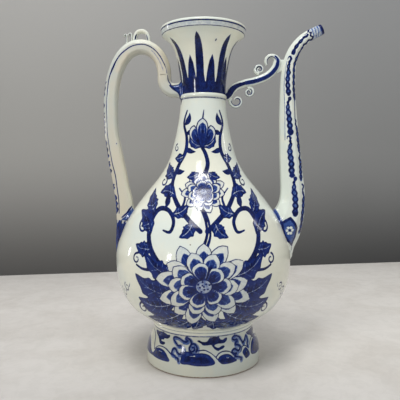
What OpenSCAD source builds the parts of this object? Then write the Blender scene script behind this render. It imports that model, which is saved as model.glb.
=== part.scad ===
// Porcelain ewer: pear-shaped body on a spreading foot, trumpet mouth, strap handle with a small loop,
// slender facetted spout and a scrolled bridge that ties the spout to the neck.
// The origin is at the centre of the face it stands on, +Z is up and the spout points along +X.

/* [Foot] */
// Radius of the foot ring just above the table
foot_r = 57.5; // [54:0.5:62]
// Height of the foot ring
foot_h = 36.8; // [28:0.2:46]
// Radius of the waist between the foot and the body
waist_r = 50.3; // [47:0.1:53]
// Thickness of the foot ring
foot_wall = 6.4; // [4:0.2:9]
// Rounding of the foot ring's lower outer edge
foot_edge = 1.5; // [0.5:0.1:3]
// Height of the moulded collar under the body
collar_h = 6.5; // [4:0.1:10]
// How far the collar's two rings stand out
collar_bulge = 1.4; // [0.5:0.1:2.5]

/* [Body] */
// Radius at the lower edge of the body
body_r = 52.5; // [50:0.5:56]
// Largest radius of the belly
belly_r = 87.3; // [82:0.1:93]
// Height of the belly's widest line above the table
belly_z = 103; // [95:0.5:110]
// Height of the seam between the two thrown halves
seam_z = 91; // [84:0.5:93]
// Radius of the narrowest part of the neck
neck_r = 22.3; // [19:0.1:25]
// Height of the top of the neck
neck_z = 260.5; // [250:0.5:270]
// Thickness of the body's wall
body_wall = 4.2; // [3:0.1:6]

/* [Mouth] */
// Height of the raised ring between the neck and the mouth
ring_h = 4.3; // [3:0.1:6]
// How far the neck ring stands out
ring_bulge = 1.2; // [0.4:0.1:2]
// Height of the rim above the table
mouth_z = 330; // [324:0.5:340]
// Outer radius of the rim
mouth_r = 42.4; // [36:0.1:46]
// Height of the upright lip
lip_h = 7.5; // [5:0.1:10]
// How much the lip leans out
lip_lean = 1.5; // [0.5:0.1:3]
// Thickness of the mouth's wall
mouth_wall = 3.2; // [2.4:0.1:4.5]

/* [Spout] */
// How far the spout's centre line stands out past the belly at its lower bow
spout_bow_out = 2.7; // [1:0.1:6]
// How far the stem leans back from the bow towards the neck
spout_stem_back = 6; // [2:0.5:9]
// How far the centre of the tip reaches out past the stem
spout_tip_out = 33.6; // [26:0.2:38]
// Height of the spout's root, inside the belly
spout_root_z = 112; // [108:0.5:116]
// Height of the lower bow
spout_bow_z = 170; // [164:0.5:178]
// Height at which the stem is closest to the body
spout_stem_z = 268; // [258:0.5:276]
// Height of the centre of the tip
spout_tip_z = 329.8; // [322:0.2:336]
// Width of the spout across its flats at the root
spout_root_w = 40; // [36:0.5:44]
// Width of the spout across its flats at the bow
spout_bow_w = 23.6; // [20:0.2:27]
// Width of the spout across its flats at the tip
spout_tip_w = 10; // [9:0.2:12]
// Thickness of the spout's wall at the bow
spout_wall = 4; // [3:0.1:5]
// Thickness of the spout's wall at the tip
spout_tip_wall = 2; // [1.4:0.1:2.6]
// Diameter of the hole through the body's wall into the spout
spout_hole_d = 12; // [8:0.5:16]

/* [Handle] */
// How far the strap's centre stands out past the belly
handle_out = 5; // [3:0.1:12]
// Height at which the strap stands out most
handle_z = 252; // [240:1:262]
// How far the strap's centre lies outside the belly at its lower joint
handle_foot_out = 3.2; // [2:0.1:4.5]
// Height of the strap's lower joint
handle_foot_z = 141; // [136:0.5:146]
// Distance of the top of the arch from the body's axis
arch_x = 61.9; // [58:0.1:66]
// Height of the strap's centre at the top of the arch
arch_z = 312.7; // [306:0.1:322]
// Distance of the strap's inner leg from the body's axis
leg_x = 38.4; // [36:0.1:42]
// Height at which the inner leg starts to bend to the neck
leg_z = 284; // [280:0.5:290]
// How far the middle of the joint at the neck lies below the leg's bend
stub_drop = 14.1; // [12:0.1:17]
// Thickness of the strap, seen from the side
strap_t = 13.2; // [10:0.1:15]
// Width of the strap, seen along its length
strap_w = 17; // [12:0.1:20]
// Length of the leaf under the lower joint
leaf_l = 36; // [30:0.5:40]

/* [Loop] */
// Height of the loop above the strap
loop_h = 10.4; // [8:0.2:14]
// Width of the loop
loop_w = 17.6; // [14:0.2:20]
// Thickness of the loop's band
loop_t = 3.7; // [2.6:0.1:4.2]
// Depth of the loop's band
loop_depth = 7; // [4:0.2:10]
// Height of the larger curl beside the loop
loop_curl_h = 7; // [5:0.1:8]
// Thickness of the bands of the two curls beside the loop
loop_curl_t = 1.7; // [1.3:0.1:2.4]

/* [Bridge] */
// Thickness of the bridge, seen from the side
bridge_t = 7.6; // [6:0.1:9]
// Depth of the bridge
bridge_depth = 9; // [6:0.2:12]
// Height of the bridge where it leaves the neck
bridge_low_z = 265.5; // [263:0.1:268]
// Height at which the bridge lies against the spout
bridge_high_z = 298; // [294:0.2:300]
// Radius of the curl at the bridge's end
end_curl_r = 5.6; // [5:0.1:6.2]
// Radius of the hook that curls under the bridge at the neck
hook_r = 7.2; // [6:0.1:7.8]
// Outer radius of the small curls on the bridge
curl_r = 6.1; // [5.2:0.1:6.6]
// Thickness of the bands of the hook and the curls
curl_t = 2.4; // [1.8:0.1:2.7]
// Depth of the hook and the curls
curl_depth = 6; // [4:0.2:8]

/* [Hidden] */
// Curve steps between two points of an outline, and round a whole ring
$fn = 96;
outline_steps = 4;
path_steps = 4;
curl_steps = 26;
arc_steps = 8;

// Points of a smooth curve through the given points (Catmull-Rom, any dimension)
function at(points, i) = points[max(0, min(len(points) - 1, i))];
function blend(a, b, c, d, t) =
    0.5 * (2 * b + t * (c - a) + t * t * (2 * a - 5 * b + 4 * c - d) + t * t * t * (3 * b - a - 3 * c + d));
function smooth(points, steps) = concat(
    [for (i = [0:len(points) - 2], k = [0:steps - 1])
        blend(at(points, i - 1), points[i], points[i + 1], at(points, i + 2), k / steps)],
    [points[len(points) - 1]]);
function unit(v) = v / norm(v);
function tangent(points, i) = unit(at(points, i + 1) - at(points, i - 1));
function reversed(list) = [for (i = [len(list) - 1:-1:0]) list[i]];
function mix(a, b, share) = a + (b - a) * share;

// The part of an outline of [radius, height] points that lies between two heights
function radius_at(points, z) = lookup(z, [for (p = points) [p[1], p[0]]]);
function slice(points, low, high) = concat(
    [[radius_at(points, low), low]],
    [for (p = points) if (p[1] > low && p[1] < high) p],
    [[radius_at(points, high), high]]);
// The same outline moved inwards by a wall's thickness
function inset(points, wall) = [for (i = [0:len(points) - 1])
    let (t = tangent(points, i)) points[i] + wall * [-t[1], t[0]]];

// Outline of the foot: shares of the way from the waist out to the foot, and from the edge up to the waist
foot_shares = [[1, 0], [1, 0.18], [0.96, 0.3], [0.82, 0.44], [0.55, 0.6], [0.27, 0.74], [0.08, 0.87], [0, 1]];
foot_outline = concat(
    [for (k = [0:arc_steps - 1])
        let (a = 90 * k / arc_steps)
        [foot_r - foot_edge + foot_edge * sin(a), foot_edge - foot_edge * cos(a)]],
    smooth([for (s = foot_shares) [mix(waist_r, foot_r, s[0]), mix(foot_edge, foot_h, s[1])]], outline_steps));

// Outline of the body: shares of the way out and up, below and above the belly's widest line
body_z = foot_h + collar_h;
belly_low_shares = [[0, 0], [0.16, 0.045], [0.33, 0.112], [0.48, 0.18], [0.605, 0.25], [0.79, 0.414],
    [0.925, 0.615], [0.985, 0.82]];
belly_high_shares = [[1, 0], [0.993, 0.05], [0.965, 0.1], [0.928, 0.142], [0.832, 0.235], [0.683, 0.331],
    [0.505, 0.426], [0.32, 0.521], [0.188, 0.616], [0.116, 0.711], [0.062, 0.807], [0.023, 0.902], [0, 1]];
body_outline = smooth(concat(
    [for (s = belly_low_shares) [mix(body_r, belly_r, s[0]), mix(body_z, belly_z, s[1])]],
    [for (s = belly_high_shares) [mix(neck_r, belly_r, s[0]), mix(belly_z, neck_z, s[1])]]), outline_steps);
body_inside = inset(body_outline, body_wall);
floor_z = body_inside[0][1];
// The neck is thrown by itself and joined to the belly where the shoulder starts to hollow
shoulder_share = 0.52;
shoulder_z = mix(belly_z, neck_z, shoulder_share);

// Outline of the mouth: shares of the way out from the neck and up from the ring to the lip
ring_z = neck_z + ring_h;
lip_z = mouth_z - lip_h;
lip_r = mouth_r - lip_lean;
mouth_shares = [[0, 0], [0.005, 0.07], [0.043, 0.28], [0.162, 0.53], [0.254, 0.67], [0.357, 0.775],
    [0.486, 0.85], [0.67, 0.925], [1, 1]];
mouth_flare = smooth([for (s = mouth_shares) [mix(neck_r, lip_r, s[0]), mix(ring_z, lip_z, s[1])]],
    outline_steps);
// The inside of the mouth runs on from the neck's wall to the thinner wall of the lip
mouth_inside = [for (i = [0:len(mouth_flare) - 1])
    let (t = i == 0 ? [0, 1] : tangent(mouth_flare, i), w = mix(body_wall, mouth_wall, i / (len(mouth_flare) - 1)))
    mouth_flare[i] + w * [-t[1], i == 0 ? 0 : t[0]]];
lip_round = mouth_wall / 2;

// Points of a half-round moulding of a given height that stands out from a given radius
function moulding(r, bulge, low, high) = [for (k = [0:arc_steps])
    let (a = 180 * k / arc_steps) [r + bulge * sin(a), mix(low, high, (1 - cos(a)) / 2)]];

module foot_ring() {
    color("#e4e2d6")
        rotate_extrude()
            polygon(concat(foot_outline, [[waist_r - foot_wall, foot_h], [foot_r - foot_wall, 0]]));
}

module foot_collar() {
    step_share = 0.48;
    step_z = mix(foot_h, body_z, step_share);
    color("#d9d8cc")
        rotate_extrude()
            polygon(concat(
                moulding(waist_r, collar_bulge * step_share, foot_h, step_z),
                moulding(waist_r, collar_bulge, step_z, body_z),
                [[waist_r - foot_wall, body_z], [waist_r - foot_wall, foot_h]]));
}

module lower_body() {
    inside = slice(body_inside, floor_z, seam_z);
    color("#e8e6da")
        rotate_extrude()
            polygon(concat([[0, body_z]], slice(body_outline, body_z, seam_z), reversed(inside), [[0, floor_z]]));
}

module upper_body() {
    inside = slice(body_inside, seam_z, shoulder_z);
    color("#eceade")
        difference() {
            rotate_extrude()
                polygon(concat(slice(body_outline, seam_z, shoulder_z), reversed(inside)));
            spout_hole();
        }
}

module neck() {
    inside = slice(body_inside, shoulder_z, neck_z);
    color("#e9e7dc")
        rotate_extrude()
            polygon(concat(slice(body_outline, shoulder_z, neck_z), reversed(inside)));
}

module neck_ring() {
    color("#dedccf")
        rotate_extrude()
            polygon(concat(
                moulding(neck_r, ring_bulge, neck_z, ring_z),
                [[neck_r - body_wall, ring_z], [neck_r - body_wall, neck_z]]));
}

module trumpet_mouth() {
    lip_round_points = [for (k = [0:arc_steps])
        let (a = 180 * k / arc_steps)
        [mouth_r - lip_round + lip_round * cos(a), mouth_z - lip_round + lip_round * sin(a)]];
    color("#e6e4d8")
        rotate_extrude()
            polygon(concat(mouth_flare, lip_round_points, reversed(mouth_inside)));
}

// The solid space inside the outer faces of the body, the ring and the mouth, which trims what joins them
module body_space() {
    rotate_extrude()
        polygon(concat(
            [[0, body_z]],
            slice(body_outline, body_z, neck_z),
            moulding(neck_r, ring_bulge, neck_z, ring_z),
            mouth_flare,
            [[0, lip_z]]));
}

// A solid swept through rings of points, each ring counter-clockwise when the path comes towards the eye.
// Each end is closed by strips between the ring's first half and its second half.
module swept(rings) {
    n = len(rings[0]);
    last = len(rings) - 1;
    points = [for (ring = rings, p = ring) p];
    sides = [for (i = [0:last - 1], k = [0:n - 1])
        let (a = i * n + k, b = i * n + (k + 1) % n)
        each [[a, b + n, b], [a, a + n, b + n]]];
    strips = [for (k = [0:n / 2 - 2]) each [[k, k + 1, n - 2 - k], [k, n - 2 - k, n - 1 - k]]];
    ends = [for (s = strips) each [s, reversed(s) + last * n * [1, 1, 1]]];
    polyhedron(points, concat(sides, ends));
}

// A ring of points round one point of a path in the XZ plane, from [side, depth] pairs, where the side is
// to the right of the path
function placed(p, t, section) = [for (s = section) [p[0] + s[0] * t[1], s[1], p[1] - s[0] * t[0]]];
function line_of(path) = [for (p = path) [p[0], p[1]]];

// Sections, as shares of half a thickness and half a depth
strap_shares = [[1, -0.5], [1, 0.5], [0.4, 1], [-0.72, 1], [-1, 0.7], [-1, -0.7], [-0.72, -1], [0.4, -1]];
bar_shares = [[1, -0.62], [1, 0.62], [0.5, 1], [-0.5, 1], [-1, 0.62], [-1, -0.62], [-0.5, -1], [0.5, -1]];
function scaled(shares, t, w) = [for (s = shares) [s[0] * t / 2, s[1] * w / 2]];

// A bar swept along a path of [x, z, thickness, depth] points
module bar(path, shares, first_t, last_t) {
    line = line_of(path);
    last = len(path) - 1;
    swept([for (i = [0:last])
        placed(line[i], i == 0 ? first_t : i == last ? last_t : tangent(line, i),
            scaled(shares, path[i][2], path[i][3]))]);
}

spout_bow_x = belly_r + spout_bow_out;
spout_stem_x = spout_bow_x - spout_stem_back;
spout_tip_x = spout_stem_x + spout_tip_out;
// The spout's centre line: shares of the way between root, bow, stem and tip, with shares of the width
root_sink_share = 0.46;
root_x = radius_at(body_outline, spout_root_z) - spout_root_w * root_sink_share;
root_shares = [[0, 0, 0], [0.27, 0.17, 0.1], [0.545, 0.33, 0.26], [0.82, 0.55, 0.57], [0.968, 0.776, 0.9]];
stem_shares = [[0, 0, 0], [0.24, 0.18, 0.2], [0.5, 0.39, 0.38], [0.72, 0.59, 0.57], [0.9, 0.8, 0.77], [1, 1, 1]];
hook_shares = [[0.012, 0.26, 0.12], [0.065, 0.485, 0.38], [0.193, 0.663, 0.6], [0.387, 0.8, 0.75],
    [0.625, 0.898, 0.85], [1, 1, 1]];
stem_w_share = 0.65;
spout_stem_w = mix(spout_bow_w, spout_tip_w, stem_w_share);
function way(shares, from, to) = [for (s = shares) [for (k = [0:2]) mix(from[k], to[k], s[k])]];
spout_line = smooth(concat(
    way(root_shares, [root_x, spout_root_z, spout_root_w], [spout_bow_x, spout_bow_z, spout_bow_w]),
    way(stem_shares, [spout_bow_x, spout_bow_z, spout_bow_w], [spout_stem_x, spout_stem_z, spout_stem_w]),
    way(hook_shares, [spout_stem_x, spout_stem_z, spout_stem_w], [spout_tip_x, spout_tip_z, spout_tip_w])),
    path_steps);
spout_points = line_of(spout_line);
spout_last = len(spout_line) - 1;

// Half of eight flats, in an order that starts and ends on the plane where the two halves meet
flats = 8;
flat_step = 360 / flats;
flat_share = 1 / cos(flat_step / 2);
function half_flats(r, side) = concat([[r, 0]],
    [for (k = [0:flats / 2 - 1]) let (a = flat_step * (k + 0.5))
        [r * flat_share * cos(a), side * r * flat_share * sin(a)]],
    [[-r, 0]]);
function spout_bore(i) = spout_line[i][2] / 2 - mix(spout_wall, spout_tip_wall, i / spout_last);
function spout_section(i, side) =
    concat(half_flats(spout_line[i][2] / 2, side), reversed(half_flats(spout_bore(i), side)));

module spout_half() {
    difference() {
        swept([for (i = [0:spout_last])
            reversed(placed(spout_points[i], tangent(spout_points, i), spout_section(i, -1)))]);
        body_space();
    }
}

// The solid space inside the spout's outer faces, which trims the bridge
module spout_space() {
    swept([for (i = [0:spout_last]) placed(spout_points[i], tangent(spout_points, i),
        [for (k = [0:flats - 1]) let (a = flat_step * (k + 0.5), r = spout_line[i][2] / 2 * flat_share)
            [r * cos(a), r * sin(a)]])]);
}

module spout_hole() {
    lean = atan2(spout_points[path_steps][0] - root_x, spout_points[path_steps][1] - spout_root_z);
    translate([root_x, 0, spout_root_z])
        rotate([0, lean, 0])
            translate([0, 0, -spout_root_w / 2])
                cylinder(h = spout_root_w, d = spout_hole_d);
}

module spout_back() {
    color("#eef0ee")
        mirror([0, 1, 0])
            spout_half();
}

module spout_front() {
    color("#dfe3ea")
        spout_half();
}

handle_x = belly_r + handle_out;
handle_foot_x = radius_at(body_outline, handle_foot_z) + handle_foot_out;
// The handle's centre line, from the neck over the arch and down to its lower joint on the belly
arch_power = 2 / 2.15;
arch_turns = 10;
strap_low_shares = [[0, 0], [0.05, 0.153], [0.255, 0.285], [0.4, 0.393], [0.59, 0.503], [0.68, 0.575],
    [0.83, 0.683], [0.955, 0.791]];
swell_shares = [0.25, 0.25, 0.13, 0.13, 0.13, 0.1, 0.04, -0.02];
foot_swell_t = strap_t * (1 + swell_shares[0]);
strap_path = smooth(concat(
    [for (k = [0:arch_turns]) let (a = 90 * k / arch_turns)
        [-mix(arch_x, leg_x, cos(a)), mix(leg_z, arch_z, sin(a)), strap_t, strap_w]],
    [for (k = [arch_turns - 1:-1:0]) let (a = 90 * k / arch_turns)
        [-mix(arch_x, handle_x, pow(cos(a), arch_power)), mix(handle_z, arch_z, pow(sin(a), arch_power)),
            strap_t, strap_w]],
    [for (i = [len(strap_low_shares) - 1:-1:0]) let (s = strap_low_shares[i])
        [-mix(handle_foot_x, handle_x, s[0]), mix(handle_foot_z, handle_z, s[1]),
            strap_t * (1 + swell_shares[i]), strap_w]]), 2);
// The stub runs straight out of the neck, swells there, and turns up into the inner leg
stub_z = leg_z - stub_drop;
stub_bend_share = 0.68;
bend_r = stub_drop * stub_bend_share;
stub_swell_shares = [0.5, 0.38, 0.16, 0.04];
stub_start_share = 0.8;
stub_path = concat(
    [for (k = [0:3]) [-mix(neck_r * stub_start_share, leg_x - bend_r, k / 4), stub_z,
        strap_t * (1 + stub_swell_shares[k]), strap_w]],
    [for (k = [0:arc_steps]) let (a = 90 * k / arc_steps)
        [-leg_x + bend_r - bend_r * sin(a), stub_z + bend_r - bend_r * cos(a), strap_t, strap_w]],
    [[-leg_x, leg_z, strap_t, strap_w]]);
// The leaf under the lower joint: shares of its length, of the way out to the belly, and of its section
leaf_rise = 0.9;
leaf_shares = [[0, 0, 1, 1], [0.3, 0.5, 0.75, 0.86], [0.6, 1.1, 0.55, 0.62], [0.85, 1.1, 0.36, 0.36],
    [1, 0.75, 0.24, 0.12]];
leaf_path = smooth([for (s = leaf_shares)
    let (t = foot_swell_t * s[2])
    [-mix(handle_foot_x + foot_swell_t / 2, belly_r + leaf_rise, s[1]) + t / 2, handle_foot_z - leaf_l * s[0],
        t, strap_w * s[3]]], path_steps);

module strap_space() {
    bar(strap_path, strap_shares, [0, 1], [0, -1]);
}

module handle_strap() {
    color("#e9e8de")
        difference() {
            strap_space();
            body_space();
        }
}

module handle_stub() {
    color("#3a4a7c")
        difference() {
            bar(stub_path, strap_shares, [-1, 0], [0, 1]);
            body_space();
        }
}

module handle_leaf() {
    color("#26356e")
        difference() {
            bar(leaf_path, strap_shares, [0, -1], [0, -1]);
            body_space();
        }
}

// What stands on top of the arch
arch_top_z = arch_z + strap_t / 2;
loop_shift_share = 0.05;
loop_x = arch_x - loop_w * loop_shift_share;
loop_power = 2 / 2.6;
loop_sink_share = 0.35;
loop_path = [for (k = [0:2 * arc_steps])
    let (a = 180 * (1 - k / (2 * arc_steps)), c = cos(a), across = (loop_w - loop_t) / 2)
    [-loop_x + across * sign(c) * pow(abs(c), loop_power),
        mix(arch_top_z - loop_sink_share * loop_h, arch_top_z + loop_h - loop_t / 2, pow(sin(a), loop_power)),
        loop_t, loop_depth]];

module handle_loop() {
    color("#f0efe6")
        difference() {
            bar(loop_path, bar_shares, [0, 1], [0, -1]);
            strap_space();
        }
}

// A small curl that rises from the arch and bends over towards -X
arch_curl_angle = 216;
arch_curl_thin_share = 0.3;
module arch_curl(x, h, r) {
    path = concat(
        [[-x, arch_top_z - loop_sink_share * loop_h, loop_curl_t, curl_depth]],
        [for (k = [0:arc_steps]) let (f = k / arc_steps, a = arch_curl_angle * f)
            [-x - r + r * cos(a), arch_top_z + h - loop_curl_t / 2 - r + r * sin(a),
                loop_curl_t * (1 - arch_curl_thin_share * f), curl_depth]]);
    difference() {
        bar(path, bar_shares, [0, 1], tangent(line_of(path), len(path) - 1));
        strap_space();
    }
}

curl_gap = 0.4;
large_curl_x = loop_x + loop_w / 2 + loop_curl_t / 2 + curl_gap;
large_curl_share = 0.72;
large_curl_r = loop_curl_t * large_curl_share;
small_curl_x = large_curl_x + 2 * large_curl_r + loop_curl_t + curl_gap;
small_curl_share = 0.85;

module loop_curl_large() {
    color("#d5d8e0")
        arch_curl(large_curl_x, loop_curl_h, large_curl_r);
}

module loop_curl_small() {
    color("#c9cedb")
        arch_curl(small_curl_x, loop_curl_h * small_curl_share, large_curl_r);
}

// The bridge's centre line: shares of the way from the neck to the spout and up, then the curl at its end
bridge_seat = 0.5;
bridge_end_x = spout_stem_x - spout_stem_w / 2 - bridge_t / 2 + bridge_seat;
bridge_shares = [[0, -0.09], [0.075, 0.02], [0.12, 0.135], [0.207, 0.25], [0.368, 0.342], [0.556, 0.41],
    [0.746, 0.517], [0.877, 0.652], [0.97, 0.834], [1, 1]];
end_curl_angle = 212;
end_curl_thin_share = 0.3;
end_curl_shares = [1, 0.78, 0.6, 0.54, 0.52, 0.5, 0.43, 0.33];
end_curl_t = [for (s = end_curl_shares) bridge_t * s];
bridge_path = concat(
    smooth([for (s = bridge_shares)
        [mix(neck_r, bridge_end_x, s[0]), mix(bridge_low_z, bridge_high_z, s[1]), bridge_t, bridge_depth]],
        path_steps),
    [for (k = [1:curl_steps]) let (f = k / curl_steps, a = end_curl_angle * f)
        [bridge_end_x - end_curl_r + end_curl_r * cos(a), bridge_high_z + end_curl_r * sin(a),
            lookup(f * (len(end_curl_t) - 1), [for (i = [0:len(end_curl_t) - 1]) [i, end_curl_t[i]]]),
            bridge_depth * (1 - end_curl_thin_share * f)]]);

module bridge_space() {
    bar(bridge_path, bar_shares, [1, 1] / norm([1, 1]), tangent(line_of(bridge_path), len(bridge_path) - 1));
}

module bridge_bar() {
    color("#27377a")
        difference() {
            bridge_space();
            body_space();
            spout_space();
        }
}

// The clay that fills the corner between the bridge and the spout
web_depth_share = 0.55;
web_low = 12;
web_high = 4.5;

module bridge_web() {
    color("#eceee8")
        difference() {
            translate([bridge_end_x, -bridge_depth * web_depth_share / 2, bridge_high_z - web_low])
                cube([spout_stem_x - bridge_end_x, bridge_depth * web_depth_share, web_low + web_high]);
            bridge_space();
            spout_space();
        }
}

// A band that curls in round a centre: from one angle to another while its radius shrinks to a share
spiral_power = 1.4;
spiral_thin_share = 0.35;
module spiral(x, z, r, from, to, inner_share) {
    path = [for (k = [0:curl_steps]) let (f = k / curl_steps, a = mix(from, to, f),
        rr = r * mix(1, inner_share, pow(f, spiral_power)))
        [x + rr * cos(a), z + rr * sin(a), curl_t * (1 - spiral_thin_share * f), curl_depth]];
    line = line_of(path);
    bar(path, bar_shares, tangent(line, 0), tangent(line, curl_steps));
}

hook_x = neck_r + ring_bulge + hook_r + curl_t;
hook_drop = 6;
low_curl_share = 0.415;
high_curl_share = 0.73;
function bridge_z(x) = lookup(x, [for (p = bridge_path) if (p[1] <= bridge_high_z) [p[0], p[1]]]);
function bridge_slope(x) = atan2(bridge_z(x + curl_t) - bridge_z(x - curl_t), 2 * curl_t);
curl_mid_r = curl_r - curl_t / 2;
curl_overlap_share = 0.25;
curl_off = bridge_t / 2 + curl_r - curl_t * curl_overlap_share;

module bridge_hook() {
    color("#e6e8e6")
        difference() {
            spiral(hook_x, bridge_low_z - hook_drop, hook_r, 152, 440, 0.5);
            bridge_space();
            body_space();
        }
}

// A small curl that touches the bridge's lower side (-1) or upper side (1), square to the bridge there
module bridge_curl(x_share, side, from, to, inner_share) {
    x = mix(neck_r, bridge_end_x, x_share);
    lean = bridge_slope(x);
    difference() {
        spiral(x - side * curl_off * sin(lean), bridge_z(x) + side * curl_off * cos(lean), curl_mid_r,
            from + lean, to + lean, inner_share);
        bridge_space();
    }
}

module bridge_curl_lower() {
    color("#dfe2e6")
        bridge_curl(low_curl_share, -1, 97, -263, 0.5);
}

module bridge_curl_upper() {
    color("#e2e5e8")
        bridge_curl(high_curl_share, 1, 240, -80, 0.6);
}

foot_ring();
foot_collar();
lower_body();
upper_body();
neck();
neck_ring();
trumpet_mouth();
spout_front();
spout_back();
handle_strap();
handle_stub();
handle_leaf();
handle_loop();
loop_curl_large();
loop_curl_small();
bridge_bar();
bridge_web();
bridge_hook();
bridge_curl_lower();
bridge_curl_upper();
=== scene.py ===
import math
from functools import partialmethod
import bmesh
import bpy
import numpy as np
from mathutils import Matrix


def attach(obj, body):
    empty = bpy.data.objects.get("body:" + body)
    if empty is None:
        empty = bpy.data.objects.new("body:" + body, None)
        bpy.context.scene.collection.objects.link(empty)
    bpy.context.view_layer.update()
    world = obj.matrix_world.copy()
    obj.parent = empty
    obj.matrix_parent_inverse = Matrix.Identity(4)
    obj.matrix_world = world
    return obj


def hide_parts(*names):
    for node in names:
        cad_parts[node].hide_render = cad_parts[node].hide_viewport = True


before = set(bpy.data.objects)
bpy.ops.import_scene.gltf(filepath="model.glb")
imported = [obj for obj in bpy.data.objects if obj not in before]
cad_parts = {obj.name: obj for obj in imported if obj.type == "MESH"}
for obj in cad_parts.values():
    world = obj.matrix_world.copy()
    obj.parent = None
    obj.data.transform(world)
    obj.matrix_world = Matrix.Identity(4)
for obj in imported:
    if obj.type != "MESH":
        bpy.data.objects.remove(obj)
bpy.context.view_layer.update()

mm = 0.001
print("frame loaded with", len(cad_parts), "solids")


# A smooth curve through points given in millimetres
def smoothLine(points, steps):
    pts = [np.array(p, float) for p in points]
    out = []
    for i in range(len(pts) - 1):
        a, b, c, d = pts[max(i - 1, 0)], pts[i], pts[i + 1], pts[min(i + 2, len(pts) - 1)]
        for k in range(steps):
            t = k / steps
            out.append(0.5 * (2 * b + t * (c - a) + t * t * (2 * a - 5 * b + 4 * c - d)
                              + t ** 3 * (3 * b - a - 3 * c + d)))
    return np.array(out + [pts[-1]])


def between(a, b, share):
    return a + (b - a) * share


def lengthsAlong(points):
    return np.concatenate([[0], np.cumsum(np.linalg.norm(np.diff(points[:, :2], axis=0), axis=1))])


# The same line with its points a given distance apart
def spaced(points, spacing):
    points = np.array(points, float)
    along = lengthsAlong(points)
    count = max(2, int(round(along[-1] / spacing)) + 1)
    new = np.linspace(0, along[-1], count)
    return np.stack([np.interp(new, along, points[:, c]) for c in range(points.shape[1])], 1)


def cutOutline(points, low, high):
    ends = [np.interp(z, points[:, 1], points[:, 0]) for z in (low, high)]
    inner = points[(points[:, 1] > low) & (points[:, 1] < high)]
    return np.vstack([[ends[0], low], inner, [ends[1], high]])


# The inner side of a wall; the way in which the line sets out can be given
def insetOutline(points, wall, setOut=None):
    run = np.gradient(points, axis=0)
    run /= np.linalg.norm(run, axis=1)[:, None]
    if setOut:
        run[0] = setOut
    return points + wall * np.stack([-run[:, 1], run[:, 0]], 1)


# Half-round moulding of a given height on a given radius
def moulding(radius, bulge, low, high, steps=16):
    a = np.linspace(0, math.pi, steps)
    return np.stack([radius + bulge * np.sin(a), between(low, high, (1 - np.cos(a)) / 2)], 1)


# One node socket that takes part in sums: each sum adds a Math node
class Wire:
    def __init__(self, kit, socket):
        self.kit, self.socket = kit, socket

    def math(self, operation, *others):
        return self.kit.add("ShaderNodeMath", dict(enumerate((self,) + others)), operation=operation)

    # The same with the wire last, so that 1 - wire works
    def mathFrom(self, operation, first):
        return self.kit.add("ShaderNodeMath", {0: first, 1: self}, operation=operation)

    __add__ = __radd__ = partialmethod(math, "ADD")
    __mul__ = __rmul__ = partialmethod(math, "MULTIPLY")
    __sub__, __rsub__ = partialmethod(math, "SUBTRACT"), partialmethod(mathFrom, "SUBTRACT")
    __truediv__, __rtruediv__ = partialmethod(math, "DIVIDE"), partialmethod(mathFrom, "DIVIDE")
    __mod__, __rmod__ = partialmethod(math, "MODULO"), partialmethod(mathFrom, "MODULO")

    def clamped(self):
        return self.kit.add("ShaderNodeMath", {0: self, 1: 0.0}, operation="ADD", use_clamp=True)


# A node tree under construction, for materials and for geometry alike
class NodeKit:
    def __init__(self, tree):
        self.tree = tree

    def add(self, kind, values=None, output=0, **settings):
        node = self.tree.nodes.new(kind)
        for name, value in settings.items():
            setattr(node, name, value)
        for key, value in (values or {}).items():
            if isinstance(value, Wire):
                self.tree.links.new(value.socket, node.inputs[key])
            else:
                node.inputs[key].default_value = value
        return Wire(self, node.outputs[output]) if len(node.outputs) else node

    # The three numbers that make up a place
    def parts(self, place):
        return [Wire(self, o) for o in self.add("ShaderNodeSeparateXYZ", {0: place}).socket.node.outputs]

    def mix(self, share, first, second, blend="MIX"):
        return self.add("ShaderNodeMix", {0: share, 6: first, 7: second}, 2, data_type="RGBA", blend_type=blend)

    def step(self, value, low, high, first=0.0, last=1.0):
        return self.add("ShaderNodeMapRange", {"Value": value, "From Min": low, "From Max": high, "To Min": first,
                                               "To Max": last}, interpolation_type="SMOOTHSTEP")

    def noise(self, place, scale, detail=2.0, roughness=0.5, warp=0.0):
        return self.add("ShaderNodeTexNoise", {"Vector": place, "Scale": scale, "Detail": detail,
                                               "Roughness": roughness, "Distortion": warp}, "Fac")


# A material whose tree starts from the place on the piece, in metres
def startMaterial(name):
    material = bpy.data.materials.new(name)
    material.use_nodes = True
    material.node_tree.nodes.clear()
    kit = NodeKit(material.node_tree)
    return material, kit, kit.add("ShaderNodeTexCoord", {}, "Object")


# Distances in metres below which points or edges are one, and the angle from which an edge is sharp
meshCare = {"mergeDistance": 2e-6, "lostEdge": 1e-7, "sharpDegrees": 38}


def socketId(tree, name):
    return next(i.identifier for i in tree.interface.items_tree if i.item_type == "SOCKET"
                and i.in_out == "INPUT" and i.name == name)


def startGeometryTree(name, inputs):
    tree = bpy.data.node_groups.new(name, "GeometryNodeTree")
    for way in ("OUTPUT", "INPUT"):
        tree.interface.new_socket("Geometry", in_out=way, socket_type="NodeSocketGeometry")
    for label, kind in {**inputs, "Material": "Material"}.items():
        tree.interface.new_socket(label, in_out="INPUT", socket_type="NodeSocket" + kind)
    kit = NodeKit(tree)
    source = tree.nodes.new("NodeGroupInput")
    return kit, {o.name: Wire(kit, o) for o in source.outputs if o.name}


# A sheet of columns, with the column of each vertex and its place there. The last place is the first again.
def sheetOf(kit, columns, places):
    sheet = kit.add("GeometryNodeMeshGrid", {"Size X": 1.0, "Size Y": 1.0, "Vertices X": columns,
                                             "Vertices Y": places + 1})
    index = kit.add("GeometryNodeInputIndex")
    column = ((index + 0.5) / (places + 1)).math("FLOOR")
    return sheet, column, (index - column * (places + 1) + 0.5).math("FLOOR") % places


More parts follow.
